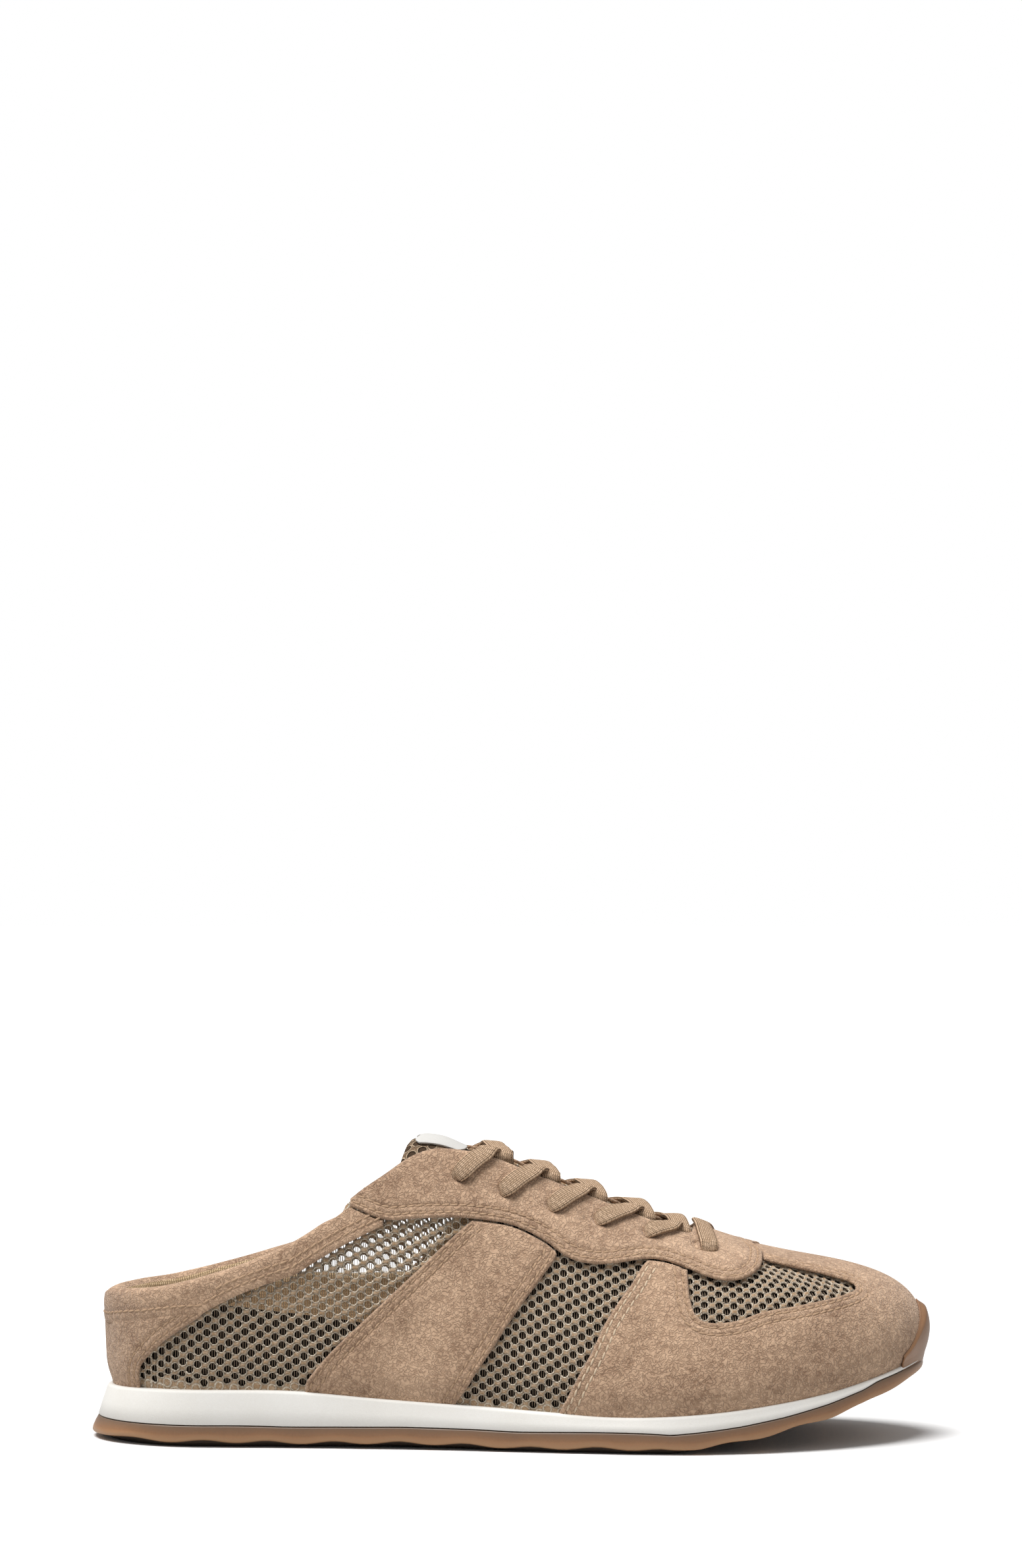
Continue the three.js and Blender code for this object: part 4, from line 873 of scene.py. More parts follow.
yarn = bpy.data.node_groups.new("yarn", "ShaderNodeTree")
yarn.interface.new_socket("Lattice", in_out="INPUT", socket_type="NodeSocketVector")
for label in ("Shade", "Height", "Hole"):
    yarn.interface.new_socket(label, in_out="OUTPUT", socket_type="NodeSocketFloat")
y_in, y_out = yarn.nodes.new("NodeGroupInput"), yarn.nodes.new("NodeGroupOutput")
split = yarn.nodes.new("ShaderNodeSeparateXYZ")
yarn.links.new(y_in.outputs["Lattice"], split.inputs[0])
part = []
for k in (0, 1):
    fraction = times(yarn, times(yarn, split.outputs[k], 0.5, "ADD"), 1.0, "FRACT")
    part.append(times(yarn, fraction, 0.5, "SUBTRACT"))
off = [times(yarn, times(yarn, part[0], float(one)), times(yarn, part[1], float(two)), "ADD")
       for one, two in zip(B_ONE, B_TWO)]
spot = times(yarn, times(yarn, times(yarn, off[0], off[0]), times(yarn, off[1], off[1]), "ADD"), 0.5, "POWER")
fuzz = speckled(yarn, 1500.0, 3.0, 0.65)
ripple = times(yarn, spot, times(yarn, fuzz, 0.5, "SUBTRACT"), "ADD")
ridge = times(yarn, times(yarn, ripple, 1.30, "SUBTRACT"), 4.6)
bell = node(yarn, "ShaderNodeMath", operation="EXPONENT")
yarn.links.new(times(yarn, times(yarn, ridge, ridge), -1.0), bell.inputs[0])
yarn.links.new(bell.outputs[0], y_out.inputs["Height"])
# Shade: painted highlight on the loop crests and painted shade in the valleys, from the same bell as the
# height, plus random fuzz.
speck = times(yarn, times(yarn, fuzz, 0.42, "SUBTRACT"), 1.1)
shade = times(yarn, times(yarn, bell.outputs[0], 1.05), speck, "ADD")
yarn.links.new(shade, y_out.inputs["Shade"])
hole = spread_to(yarn, spot, 1.25, 0.95)
yarn.links.new(hole, y_out.inputs["Hole"])


def net_cloth(name, bright, dark, painted_hole_shade=None):
    m, tree, shader = material(name, bright, 0.9, 0.15)
    group = tree.nodes.new("ShaderNodeGroup")
    group.node_tree = yarn
    tree.links.new(own_map(tree)[0], group.inputs["Lattice"])
    # The bright and dark tones are the yarn lit and in shade, blended by the painted highlight and painted
    # shade.
    painted_light_and_shade = blend(tree, group.outputs["Shade"], colour(dark), colour(bright))
    height = group.outputs["Height"]
    # Where holes are only painted, they are filled with a painted shade for the dark inside behind them.
    if painted_hole_shade:
        painted_light_and_shade = blend(tree, group.outputs["Hole"], painted_light_and_shade, colour(painted_hole_shade))
        height = times(tree, height, times(tree, group.outputs["Hole"], 3.0), "SUBTRACT")
    tree.links.new(painted_light_and_shade, shader.inputs["Base Color"])
    raised(tree, shader, height, 0.0006)
    return m


# The macro mesh's bright and dark tones are its yarn lit and in shade.
net = net_cloth("macro mesh", "fff0da", "a58768")
centres = np.array([(belt_length - s if lateral else s, t) for lateral, s, t in hole_centres])
strand = []
for lateral, s, t in hole_centres:
    for shift in (ROW / 2, COLUMN / 2, (ROW - COLUMN) / 2, (ROW + COLUMN) / 3, (2 * ROW - COLUMN) / 3):
        for way in (1, -1):
            at = s + way * shift[0]
            strand.append((belt_length - at if lateral else at, t + way * shift[1]))
strand = np.array(strand)
extra = np.concatenate([np.stack(from_cloth(strand[:, 0], np.maximum(strand[:, 1], 0.05)), 1), lattice(2.6)])
place = over_last(extra[:, 0], extra[:, 1], 0)
_, keep = np.unique(np.round(place / 0.35).astype(int), axis=0, return_index=True)
extra, place = extra[keep], place[keep]
middle_lap, middle_girth = from_cloth(centres[:, 0], centres[:, 1])
extra = extra[distance_to(place, over_last(middle_lap, middle_girth, 0)) > 1.42]
points, faces, group = cut(upper_loop, extra, holes + eyelet_holes, 0.3)
height = np.where(group > 0, -0.42, 0.12)
upper = new_piece("upper_mesh", over_last(points[:, 0], points[:, 1], height), faces, net)
s, t = cloth_place(points[:, 0], points[:, 1])
write_uv(upper, lattice_place(np.where(points[:, 0] % 2 > 1, belt_length - s, s), t))
MESH_THICK = 0.0009
thicken(upper, MESH_THICK)
finished(upper, "upper")

# Filaments: thin upright yarns that tie the mesh to its back layer, two behind each hole. They are pale
# polyester, knitted in with the mesh, and catch the light against the dark inside.
FILAMENT_HALF, FILAMENT_IN = 1.15, 1.05
corners, sides = [], []
prism = [(-0.09, 0.0), (0.09, 0.0), (0.0, 0.13)]
for lateral, s, t in hole_centres:
    for shift in (-0.4, 0.36):
        ends_s = np.array([s + shift] * 6)
        ends_t = np.maximum(np.array([t - FILAMENT_HALF] * 3 + [t + FILAMENT_HALF] * 3), 0.05)
        ends_s[:3] += [p[0] for p in prism]
        ends_s[3:] += [p[0] for p in prism]
        corners.append(np.stack([np.where(lateral, belt_length - ends_s, ends_s), ends_t,
                                 np.array([-FILAMENT_IN - p[1] for p in prism] * 2)], 1))
        n = 6 * (len(corners) - 1)
        sides += [(n, n + 1, n + 4, n + 3), (n + 1, n + 2, n + 5, n + 4), (n + 2, n, n + 3, n + 5),
                  (n, n + 2, n + 1), (n + 3, n + 4, n + 5)]
corners = np.concatenate(corners)
lap_f, girth_f = from_cloth(corners[:, 0], corners[:, 1])
thread_mat = material("back yarn", "a3907c", 0.8, 0.3)[0]
filaments = new_piece("upper_filaments", over_last(lap_f, girth_f, corners[:, 2]), sides, thread_mat, False)
outward(filaments)
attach(filaments, "root")

# Lining: a half lining of tan twill knit on thin foam, sewn in behind the mesh up to a line that falls forward
# and rises to the top in the forefoot.
# Its outer face is a near black painted shade for the shaded inside seen through the mesh holes, and the cut
# edge shows the pale foam.
twill = bpy.data.node_groups.new("twill", "ShaderNodeTree")
for label, kind in (("Place", "Vector"), ("Along", "Float"), ("Across", "Float"), ("Slant", "Float"),
                    ("Light", "Color"), ("Mid", "Color"), ("Gap", "Color")):
    twill.interface.new_socket(label, in_out="INPUT", socket_type="NodeSocket" + kind)
twill.interface.new_socket("Colour", in_out="OUTPUT", socket_type="NodeSocketColor")
twill.interface.new_socket("Height", in_out="OUTPUT", socket_type="NodeSocketFloat")
t_in, t_out = twill.nodes.new("NodeGroupInput"), twill.nodes.new("NodeGroupOutput")
apart = twill.nodes.new("ShaderNodeSeparateXYZ")
twill.links.new(t_in.outputs["Place"], apart.inputs[0])
slid = times(twill, apart.outputs[1], times(twill, apart.outputs[0], t_in.outputs["Slant"]), "ADD")
tread_way = twill.nodes.new("ShaderNodeCombineXYZ")
twill.links.new(slid, tread_way.inputs[0])
twill.links.new(apart.outputs[0], tread_way.inputs[1])
ribs = node(twill, "ShaderNodeTexBrick", Scale=1.0)
ribs.offset = 0.5
ribs.inputs["Mortar Smooth"].default_value = 0.8
ribs.inputs["Mortar Size"].default_value = 0.09
ribs.inputs["Bias"].default_value = 0.0
twill.links.new(tread_way.outputs[0], ribs.inputs["Vector"])
twill.links.new(t_in.outputs["Along"], ribs.inputs["Brick Width"])
twill.links.new(t_in.outputs["Across"], ribs.inputs["Row Height"])
twill.links.new(t_in.outputs["Light"], ribs.inputs["Color1"])
twill.links.new(t_in.outputs["Mid"], ribs.inputs["Color2"])
twill.links.new(t_in.outputs["Gap"], ribs.inputs["Mortar"])
hairs = speckled(twill, 2600.0, 3.0, 0.6)
fluffy = times(twill, spread_to(twill, hairs, 0.35, 0.7), 0.3)
twill.links.new(blend(twill, fluffy, ribs.outputs["Color"], t_in.outputs["Gap"]), t_out.inputs["Colour"])
woven_height = times(twill, times(twill, hairs, 0.4), ribs.outputs["Fac"], "SUBTRACT")
twill.links.new(woven_height, t_out.inputs["Height"])


def twill_cloth(name, light, mid, gap, along, across, slant, depth):
    m, tree, shader = material(name, light, 0.9, 0.15)
    group = tree.nodes.new("ShaderNodeGroup")
    group.node_tree = twill
    for key, value in (("Along", along), ("Across", across), ("Slant", slant)):
        group.inputs[key].default_value = value
    for key, value in (("Light", light), ("Mid", mid), ("Gap", gap)):
        group.inputs[key].default_value = colour(value)
    tree.links.new(own_map(tree)[0], group.inputs["Place"])
    tree.links.new(group.outputs["Colour"], shader.inputs["Base Color"])
    raised(tree, shader, group.outputs["Height"], depth)
    return m


knit = twill_cloth("knit lining", "ecd0a9", "d9bb93", "a08261", 1.0, 0.8, 0.6, 0.0004)
shade_backing = grained("lining back", "2a231e", "17130f", 0.95, 900.0, 60.0, 0.5, 0.3, 0.0001, 0.05)[0]
foam_edge = material("foam edge", "f2ede4", 0.8, 0.2)[0]
# In the forefoot the rim rises to the top line, so that the painted shade of the outer face fills the front
# windows' holes.
RIM = {"at": [0.0, 44.0, 83.0, 103.0, 120.0, 138.0, 268.0],
       "lateral": [44.5, 44.2, 39.8, 36.5, 52.0, 90.0, 90.0],
       "medial": [47.5, 50.0, 49.5, 50.5, 75.0, 90.0, 90.0]}
LINING_IN, LINING_THICK = 1.45, 0.0012
laps = np.linspace(0, 2, 361)[:-1]
alongs = np.where(laps > 1, 2 - laps, laps)
rim_z = np.where(laps > 1, straight(RIM, "lateral", last_x(alongs)), straight(RIM, "medial", last_x(alongs)))
heights = last_point(laps[:, None], GIRTH_GRID[None, :])[..., 2]
rim_girth = np.array([np.interp(z, row, GIRTH_GRID) for z, row in zip(rim_z, heights)])
rim_girth = np.minimum(rim_girth, open_edge(alongs, laps > 1) - 0.094)
rows = np.linspace(0.003, 1, 18)
lining_points = over_last(laps[:, None], rows[None, :] * rim_girth[:, None], -LINING_IN)
count, high = lining_points.shape[:2]
faces = [(i * high + j, i * high + j + 1, ((i + 1) % count) * high + j + 1, ((i + 1) % count) * high + j)
         for i in range(count) for j in range(high - 1)]
lining = new_piece("lining_knit", lining_points.reshape(-1, 3), faces, [shade_backing, knit, foam_edge])
belt_mm = np.interp(laps, LAP_GRID, round_belt)
write_uv(lining, np.stack([np.repeat(belt_mm, high), lining_points[..., 2].ravel()], 1))
thicken(lining, LINING_THICK, -1, 2, 1)
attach(lining, "root")

# Suede panels: split suede about 1.2 mm thick with raw cut edges, laid over the mesh and stitched down with
# two rows of thread in a pressed groove. The nap is short, curled and brushed in clouds.
suede, tree, shader = material("suede", "c6a588", 0.95, 0.12)
shader.inputs["Sheen Weight"].default_value = 0.2
shader.inputs["Sheen Roughness"].default_value = 0.6
NAP = ((900.0, 1.0, 0.5, 0.5), (420.0, 2.0, 0.5, 0.4), (55.0, 2.0, 0.5, 0.2))
layers = [speckled(tree, *kind) for kind in NAP]
parted = node(tree, "ShaderNodeMath", operation="ABSOLUTE")
tree.links.new(times(tree, layers[0], 0.5, "SUBTRACT"), parted.inputs[0])
curl = spread_to(tree, parted.outputs[0], 0.0, 0.13)
nap = times(tree, curl, 0.35)
nap = times(tree, nap, times(tree, spread_to(tree, layers[1], 0.3, 0.7), 0.35), "ADD")
nap = times(tree, nap, times(tree, spread_to(tree, layers[2], 0.3, 0.7), 0.3), "ADD")
brushed = blend(tree, nap, colour("876750"), colour("e2bf9f"))
whole, in_seam, at_edge = own_map(tree, "seam")
# Painted shade darkens the suede in the stitch grooves.
groove_painted_shade = blend(tree, times(tree, in_seam, 0.32), brushed, colour("6a5140"))
# Painted shade darkens the suede along each panel's cut edge.
edge_painted_shade = blend(tree, times(tree, at_edge, 0.2), groove_painted_shade, colour("7b604a"))
tree.links.new(edge_painted_shade, shader.inputs["Base Color"])
pile = times(tree, times(tree, curl, 0.6), times(tree, layers[1], 0.8), "ADD")
raised(tree, shader, pile, 0.0003)
SEAM_ROWS = (1.7, 4.0)
STITCH_PITCH = 2.7
bpy.ops.mesh.primitive_uv_sphere_add(segments=8, ring_count=6, radius=0.5, rotation=(0, math.pi / 2, 0))
stitch = bpy.context.active_object
bpy.ops.object.transform_apply(rotation=True)
STITCH_SIZE = (2.5, 0.75, 0.62)
stitch_points = np.array([v.co[:] for v in stitch.data.vertices]) * STITCH_SIZE
stitch_faces = [list(f.vertices) for f in stitch.data.polygons]
bpy.data.objects.remove(stitch)
DIP = 0.42


def seam_rows(line, loop, distances=SEAM_ROWS):
    """Stitch rows inside a panel, parallel to one of its edges."""
    flat_loop = flat_pattern(loop[:, 0], loop[:, 1])
    edge = over_last(line[:, 0], line[:, 1], 0)
    for way in (1, -1):
        trial = shifted(line, way, 1.5)
        if inside(flat_pattern(trial[:, 0], trial[:, 1]), flat_loop).mean() > 0.5:
            break
    found = []
    for distance in distances:
        row = shifted(line, way, distance)
        place = over_last(row[:, 0], row[:, 1], 0)
        good = distance_to(place, edge) > distance - 0.12
        row = row[good]
        good = inside(flat_pattern(row[:, 0], row[:, 1]), flat_loop)
        found.append(row[good])
    return found


def edge_ring(loop, amount):
    flat_loop = flat_pattern(loop[:, 0], loop[:, 1])
    rings = [shifted(loop, way, amount) for way in (1, -1)]
    rings = np.concatenate(rings)
    return rings[inside(flat_pattern(rings[:, 0], rings[:, 1]), flat_loop)]


fine_lattice = lattice(1.25)
# Soft troughs where the forefoot flexes and where the cap was pulled over the toe, the same on both sides:
# (along, girth) runs, each with its width and depth in millimetres
CREASES = []
for run, size, depth in (
        ([(0.548, 0.10), (0.559, 0.25), (0.575, 0.42)], 3.5, 0.35),
        ([(0.588, 0.06), (0.596, 0.2), (0.608, 0.31)], 4.5, 0.3),
        ([(0.75, 0.10), (0.78, 0.2), (0.82, 0.24)], 6.0, 0.3),
        ([(0.40, 0.06), (0.43, 0.2), (0.455, 0.34)], 4.5, 0.25),
        ([(0.07, 0.02), (0.05, 0.06)], 4.0, 0.3),
        ([(0.455, 0.60), (0.48, 0.585), (0.51, 0.60)], 5.0, 0.3)):
    for name, lateral in SIDES:
        line = drawn(on_side(run, lateral), 1.0, 4)
        CREASES.append((over_last(line[:, 0], line[:, 1], 0), size, depth))


def panel(name, loop, node_name, rows=(), base=GAP, holes=()):
    lines = [fine_lattice, edge_ring(loop, 0.35), edge_ring(loop, 0.8)]
    for row in rows:
        for way, amount in ((1, 0.0), (1, 0.55), (-1, 0.55)):
            lines.append(row if amount == 0 else shifted(row, way, amount))
    for hole in holes:
        for amount in (0.4, 0.9):
            centre = hole.mean(0)
            spokes = over_last(hole[:, 0], hole[:, 1], 0) - over_last(centre[0], centre[1], 0)
            size = np.linalg.norm(spokes, axis=1).mean()
            lines.append(centre + (hole - centre) * (1 + amount / size))
    extra = np.concatenate(lines)
    place = over_last(extra[:, 0], extra[:, 1], 0)
    _, keep = np.unique(np.round(place / 0.45).astype(int), axis=0, return_index=True)
    points, faces, group = cut(loop, extra[np.sort(keep)], holes, 0.25)
    place = over_last(points[:, 0], points[:, 1], 0)
    rim = place[group >= 0]
    d = distance_to(place, rim)
    height = SUEDE * (1 - 0.6 * (1 - np.clip(d / 0.9, 0, 1)) ** 2)
    seam = np.zeros(len(place))
    if len(rows):
        marks = np.concatenate([over_last(row[:, 0], row[:, 1], 0) for row in rows])
        seam = np.exp(-(distance_to(place, marks) / 0.5) ** 2)
        between = np.exp(-((distance_to(place, marks) - 1.2) / 0.5) ** 2) * (d < 5.5)
        height += 0.12 * between - DIP * seam
    if len(holes):
        pull = np.array([over_last(*hole.mean(0), 0) for hole in holes])
        height -= 0.4 * np.exp(-(distance_to(place, pull) / 4.5) ** 2)
    for at, size, depth in CREASES:
        height -= depth * np.exp(-(distance_to(place, at) / size) ** 2)
    piece = new_piece(name, over_last(points[:, 0], points[:, 1], base + height), faces, suede)
    # The seam map carries the masks for the painted shade in the stitch grooves and along the cut edges.
    write_uv(piece, np.stack([seam, np.exp(-(d / 0.7) ** 2)], 1), "seam")
    thicken(piece, 0.001)
    if node_name:
        finished(piece, node_name)
    else:
        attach(piece, "root")
    return piece


def sewn(name, rows, out, thread, pitch=STITCH_PITCH):
    """Threads of stitch rows, each stitch a copy of one, sunk in its groove."""
    made, faces = [], []
    for row in rows:
        if len(row) < 4:
            continue
        line = over_last(row[:, 0], row[:, 1], out)
        gaps = np.linalg.norm(np.diff(line, axis=0), axis=1)
        run = np.concatenate([[0], np.cumsum(np.where(gaps > 4, 0, gaps))])
        for at in np.arange(pitch / 2, run[-1], pitch):
            k = min(int(np.searchsorted(run, at)), len(line) - 1)
            if k == 0 or gaps[k - 1] > 4:
                continue
            share = (at - run[k - 1]) / max(run[k] - run[k - 1], 1e-6)
            centre = line[k - 1] + (line[k] - line[k - 1]) * share
            way = line[k] - line[k - 1]
            way /= np.linalg.norm(way)
            up = normal_at(row[k, 0], row[k, 1])
            side = np.cross(up, way)
            side /= np.linalg.norm(side)
            up = np.cross(way, side)
            turned = way * 0.992 + side * 0.12
            turned /= np.linalg.norm(turned)
            side = np.cross(up, turned)
            n = len(made) * len(stitch_points)
            made.append(centre + stitch_points @ np.stack([turned, side, up]))
            faces += [[n + v for v in f] for f in stitch_faces]
    piece = new_piece(name, np.concatenate(made), faces, thread)
    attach(piece, "root")
    return piece


SPUN = (0.75, 3000.0, 60.0, 0.6, 0.2, 0.0001, 0.3)
thread_tan = grained("tan thread", "cfae8e", "94785f", *SPUN)[0]
thread_light = grained("light thread", "ead5b9", "b69c80", *SPUN)[0]
THREAD_PROUD = 0.12
SEWN_OUT = GAP + SUEDE - DIP + THREAD_PROUD

for name, lateral in SIDES:
    loop = panels["stripe " + name]
    rows = seam_rows(edge_lines["stripe rear " + name], loop)
    rows += seam_rows(edge_lines["stripe front " + name], loop)
    panel("suede_stripe_" + name, loop, "side_stripe_" + name, rows)
    sewn("thread_stripe_" + name, rows, SEWN_OUT, thread_tan)
loop = panels["counter"]
rows = seam_rows(counter_line, loop) + seam_rows(counter_other, loop)
panel("suede_counter", loop, "heel_counter", rows)
sewn("thread_counter", rows, SEWN_OUT, thread_tan)
loop = panels["cap"]
column_rows, window_rows = [], []
for name, lateral in SIDES:
    column_rows += seam_rows(edge_lines["cap rear " + name], loop)
    window_rows += seam_rows(edge_lines["window " + name], loop)
panel("suede_toe_cap", loop, "toe_cap", column_rows + window_rows)
sewn("thread_cap_rear", column_rows, SEWN_OUT, thread_light)
sewn("thread_window", window_rows, SEWN_OUT, thread_tan)
loop = panels["eyestay"]
rows = []
for part_line in (edge_lines["eyestay low lateral"], edge_lines["eyestay low medial"]):
    rows += seam_rows(part_line, loop)
LAID_OVER = 0.45
panel("suede_eyestay", loop, "eyestay", rows, GAP + LAID_OVER, eyelet_holes)
sewn("thread_eyestay", rows, SEWN_OUT + LAID_OVER, thread_tan)

# Collar band: suede folded over a foam roll at the rim and stitched down outside, with the knit lining on
# its inner face. Its ends taper to flat tails that run in under the eyestay.
PADDING = 2.2
COLLAR_FOLD = 0.09
COLLAR_TAIL = 0.366


def between(a, b, c, d, t):
    """The smooth way from b to c, by a share, that comes from a and goes on to d."""
    bend, turn = 2 * a - 5 * b + 4 * c - d, 3 * b - a - 3 * c + d
    return 0.5 * (2 * b + (c - a) * t + bend * t ** 2 + turn * t ** 3)


def closed_curve(ring, each):
    """Evenly rounded closed section through control points: (stations, points, 2)."""
    before, after, later = np.roll(ring, 1, 1), np.roll(ring, -1, 1), np.roll(ring, -2, 1)
    made = []
    for t in np.arange(each) / each:
        made.append(between(before, ring, after, later, t))
    return np.stack(made, 2).reshape(ring.shape[0], -1, 2)


laps = np.linspace(-0.3995, 0.3995, 281)
alongs = np.abs(laps)
low = straight(COLLAR, "low", alongs)
rim = open_edge(alongs, laps < 0)
tail = ease((alongs - 0.345) / 0.025)
full = PADDING / INSTEP_HEIGHT
fullness = 1 - 0.7 * ease((alongs / COLLAR_TAIL - 0.7) / 0.3)
eyestay_edge = eyestay_low(np.maximum(alongs, 0.372)) - 0.006
high = np.where(alongs > COLLAR_TAIL, np.minimum(eyestay_edge, rim - full), rim - full)
high = np.maximum(high, low + 0.004)
within = np.maximum(rim - COLLAR_FOLD * fullness, 0.03)
depth = WALL + GAP - 0.6
thick = PADDING * fullness
face_out = GAP + SUEDE
control = [
    (low - 0.004, GAP + 0.62), (low - 0.010, GAP + 0.85 * SUEDE), (low + 0.002, face_out + 0.2),
    (low + (high - low) * 0.35, face_out + 0.1), (low + (high - low) * 0.7, face_out + 0.15),
    (high, face_out + 0.05), (rim - full * 0.3, GAP + SUEDE * 0.6), (rim, -WALL * 0.5),
    (rim - full * 0.3, -depth - SUEDE * 0.7), (rim - full, -depth - thick),
    ((rim + within) / 2, -depth - thick), (within, -depth - SUEDE * 0.6), (within, -depth),
    ((rim + within) / 2, -depth), (rim - full * 1.1, -depth + 0.2),
    (rim - full * 1.1, GAP * 0.5), (high - (high - low) * 0.5, GAP)]
ring = np.stack([np.stack(np.broadcast_arrays(g, o), -1) for g, o in control], 1)
flat_tail = ring.copy()
for k in range(6, 16):
    share = (k - 5) / 11
    flat_tail[:, k, 0] = high - (high - low) * 0.3 * share
    flat_tail[:, k, 1] = face_out * (1 - share) + GAP * share
ring = ring * (1 - tail)[:, None, None] + flat_tail * tail[:, None, None]
curve = closed_curve(ring, 5)
around = curve.shape[1]
points = over_last(laps[:, None], curve[..., 0], curve[..., 1])
collar = new_piece("suede_collar", points.reshape(-1, 3), tube_faces(len(laps), around), [suede, knit])
belt_mm = np.interp(laps % 2, LAP_GRID, round_belt)
belt_mm = np.where(laps < 0, belt_mm - belt_length, belt_mm)
round_mm = np.linalg.norm(np.diff(points, axis=1, append=points[:, :1]), axis=2).cumsum(1)
write_uv(collar, np.stack([np.repeat(belt_mm, around), round_mm.ravel()], 1))
out_mm = (curve[..., 0] - low[:, None]) * INSTEP_HEIGHT
outer_face = curve[..., 1] > 0.5
# The seam mask gives the collar's stitch groove its painted shade; its edge mask is left at zero.
seam = np.exp(-((out_mm - 1.5) / 0.6) ** 2) * outer_face
write_uv(collar, np.stack([seam.ravel(), 0 * seam.ravel()], 1), "seam")
inner = {j for j in range(around) if 8.2 * 5 < j < 12.5 * 5}
for f in collar.data.polygons:
    if len(f.vertices) == 4 and all(v % around in inner for v in f.vertices):
        f.material_index = 1
outward(collar)
finished(collar, "collar_band")
low_run = drawn(np.stack([laps, low], 1), 0.8)
upward = 1 if shifted(low_run, 1, 1.5)[60, 1] > low_run[60, 1] else -1
near_row = shifted(low_run, upward, 1.5)
second = shifted(low_run, upward, 3.6)
tail_rows = [second[second[:, 0] < -0.25], second[second[:, 0] > 0.25]]
sewn("thread_collar", [near_row] + tail_rows, face_out + THREAD_PROUD, thread_tan)

# Tongue: a foam pad covered in the same macro mesh, closed by a seam near its edges. It is sewn in under the
# front of the eyestay, bows across the foot, and stands up behind the last lace.
TONGUE = {"at": [0.424, 0.434, 0.445, 0.468, 0.490, 0.525, 0.560, 0.600, 0.640, 0.690],
          "edge": [0.52, 0.53, 0.54, 0.55, 0.56, 0.58, 0.61, 0.64, 0.68, 0.75],
          "depth": [.088, .082, .082, .096, .084, .056, .038, .030, .029, .029]}
TONGUE_LEAN = 0.016
TONGUE_THICK = 4.0
TONGUE_SINK = WALL + 3 * GAP
# The tongue's holes are only painted, each filled with a near black painted shade for the shaded pad behind
# it.
tongue_net = net_cloth("tongue mesh", "dcc2a4", "6a533f", "4a3a2c")


def tongue_depth(along):
    return INSTEP_HEIGHT * smooth(TONGUE, "depth", along)


def on_tongue(along, across, lift):
    """Across runs -1 at the tongue's lateral edge, 0 on its crest, 1 at its medial edge."""
    low = smooth(TONGUE, "edge", along)
    girth = 1 - (1 - low) * np.abs(across)
    from_edge = np.clip((girth - 0.55) / 0.45, 0, 1)
    leaned = along - TONGUE_LEAN * (1 - from_edge) * np.clip((0.5 - along) / 0.076, 0, 1)
    place = over_last(np.where(across < 0, 2 - leaned, leaned), girth, lift - TONGUE_SINK)
    place[..., 2] -= (tongue_depth(along) - TONGUE_SINK) * ease(from_edge)
    return place


alongs = np.concatenate([[0.424, 0.4241, 0.4246, 0.4255, 0.427, 0.429], np.linspace(0.432, 0.684, 54),
                         [0.687, 0.69]])
far_in = last_x(alongs) - last_x(alongs[0])
full = np.clip(1 - (1 - np.clip(far_in / 2.4, 0, 1)) ** 2, 0, 1) ** 0.5
turn = np.linspace(0, 2 * np.pi, 49)[:-1]
across = np.sign(np.cos(turn)) * np.abs(np.cos(turn)) ** 0.55
lift = np.sign(np.sin(turn)) * np.abs(np.sin(turn)) ** 0.8
seam = np.exp(-((np.abs(across) - 0.8) / 0.05) ** 2)
half = TONGUE_THICK / 2
upper_half = np.maximum(lift, 0)
body = -half + half * (lift * (full[:, None] + 0.04) - 0.22 * upper_half * seam)
edge_seam = np.exp(-((far_in - 5.5) / 0.9) ** 2)
body -= 0.55 * edge_seam[:, None] * upper_half
points = on_tongue(alongs[:, None], np.broadcast_to(across, (len(alongs), len(turn))), body)
count, around = points.shape[:2]
faces = tube_faces(count, around, False)
for end in (0, (count - 1) * around):
    for j in range(around // 2):
        quad = [j, j + 1, (around - j - 1) % around, (around - j) % around]
        faces.append([end + corner for corner in dict.fromkeys(quad)])
tongue = new_piece("tongue_pad", points.reshape(-1, 3), faces, tongue_net)
run_mm, across_mm = np.broadcast_arrays(far_in[:, None], across * 20 + np.where(lift < 0, 1.3, 0))
write_uv(tongue, lattice_place(run_mm.ravel(), across_mm.ravel()))
outward(tongue)
finished(tongue, "tongue")

# Label: a bare white woven tab with soft corners, laid over the tongue's crest and sewn down at its front.
# Its rear edge rolls down over the tongue's own edge.
LABEL_REAR, LABEL_FRONT, LABEL_EDGE = 0.427, 0.465, 0.44
label_white = grained("white woven label", "dcdad6", "c9c6c0", 0.55, 3500.0, 60.0, 0.35, 0.2, 0.00008, 0.3)[0]
alongs = np.linspace(LABEL_REAR, LABEL_FRONT, 26)
across = np.linspace(-LABEL_EDGE, LABEL_EDGE, 23)
a, b = np.meshgrid(alongs, across, indexing="ij")
corner = np.clip((np.abs(b) - 0.30) / 0.14, 0, 1) ** 2
share = (a - LABEL_REAR) / (LABEL_FRONT - LABEL_REAR)
a = a + 0.006 * corner * (1 - share) - 0.004 * corner * share
a = a + 0.0065 * (np.abs(b) / LABEL_EDGE - (b / LABEL_EDGE) ** 2)
corner = np.clip((np.abs(b) - 0.30) / 0.14, 0, 1)
rolled = np.exp(-((a - LABEL_REAR) / 0.0025) ** 2)
top = on_tongue(a, b, GAP + 0.55 + 0.25 * (1 - corner) - 0.5 * rolled)
count, high = top.shape[:2]
faces = [(i * high + j, (i + 1) * high + j, (i + 1) * high + j + 1, i * high + j + 1)
         for i in range(count - 1) for j in range(high - 1)]
label = new_piece("woven_label", top.reshape(-1, 3), faces, label_white)
thicken(label, 0.0007)
alone(label)
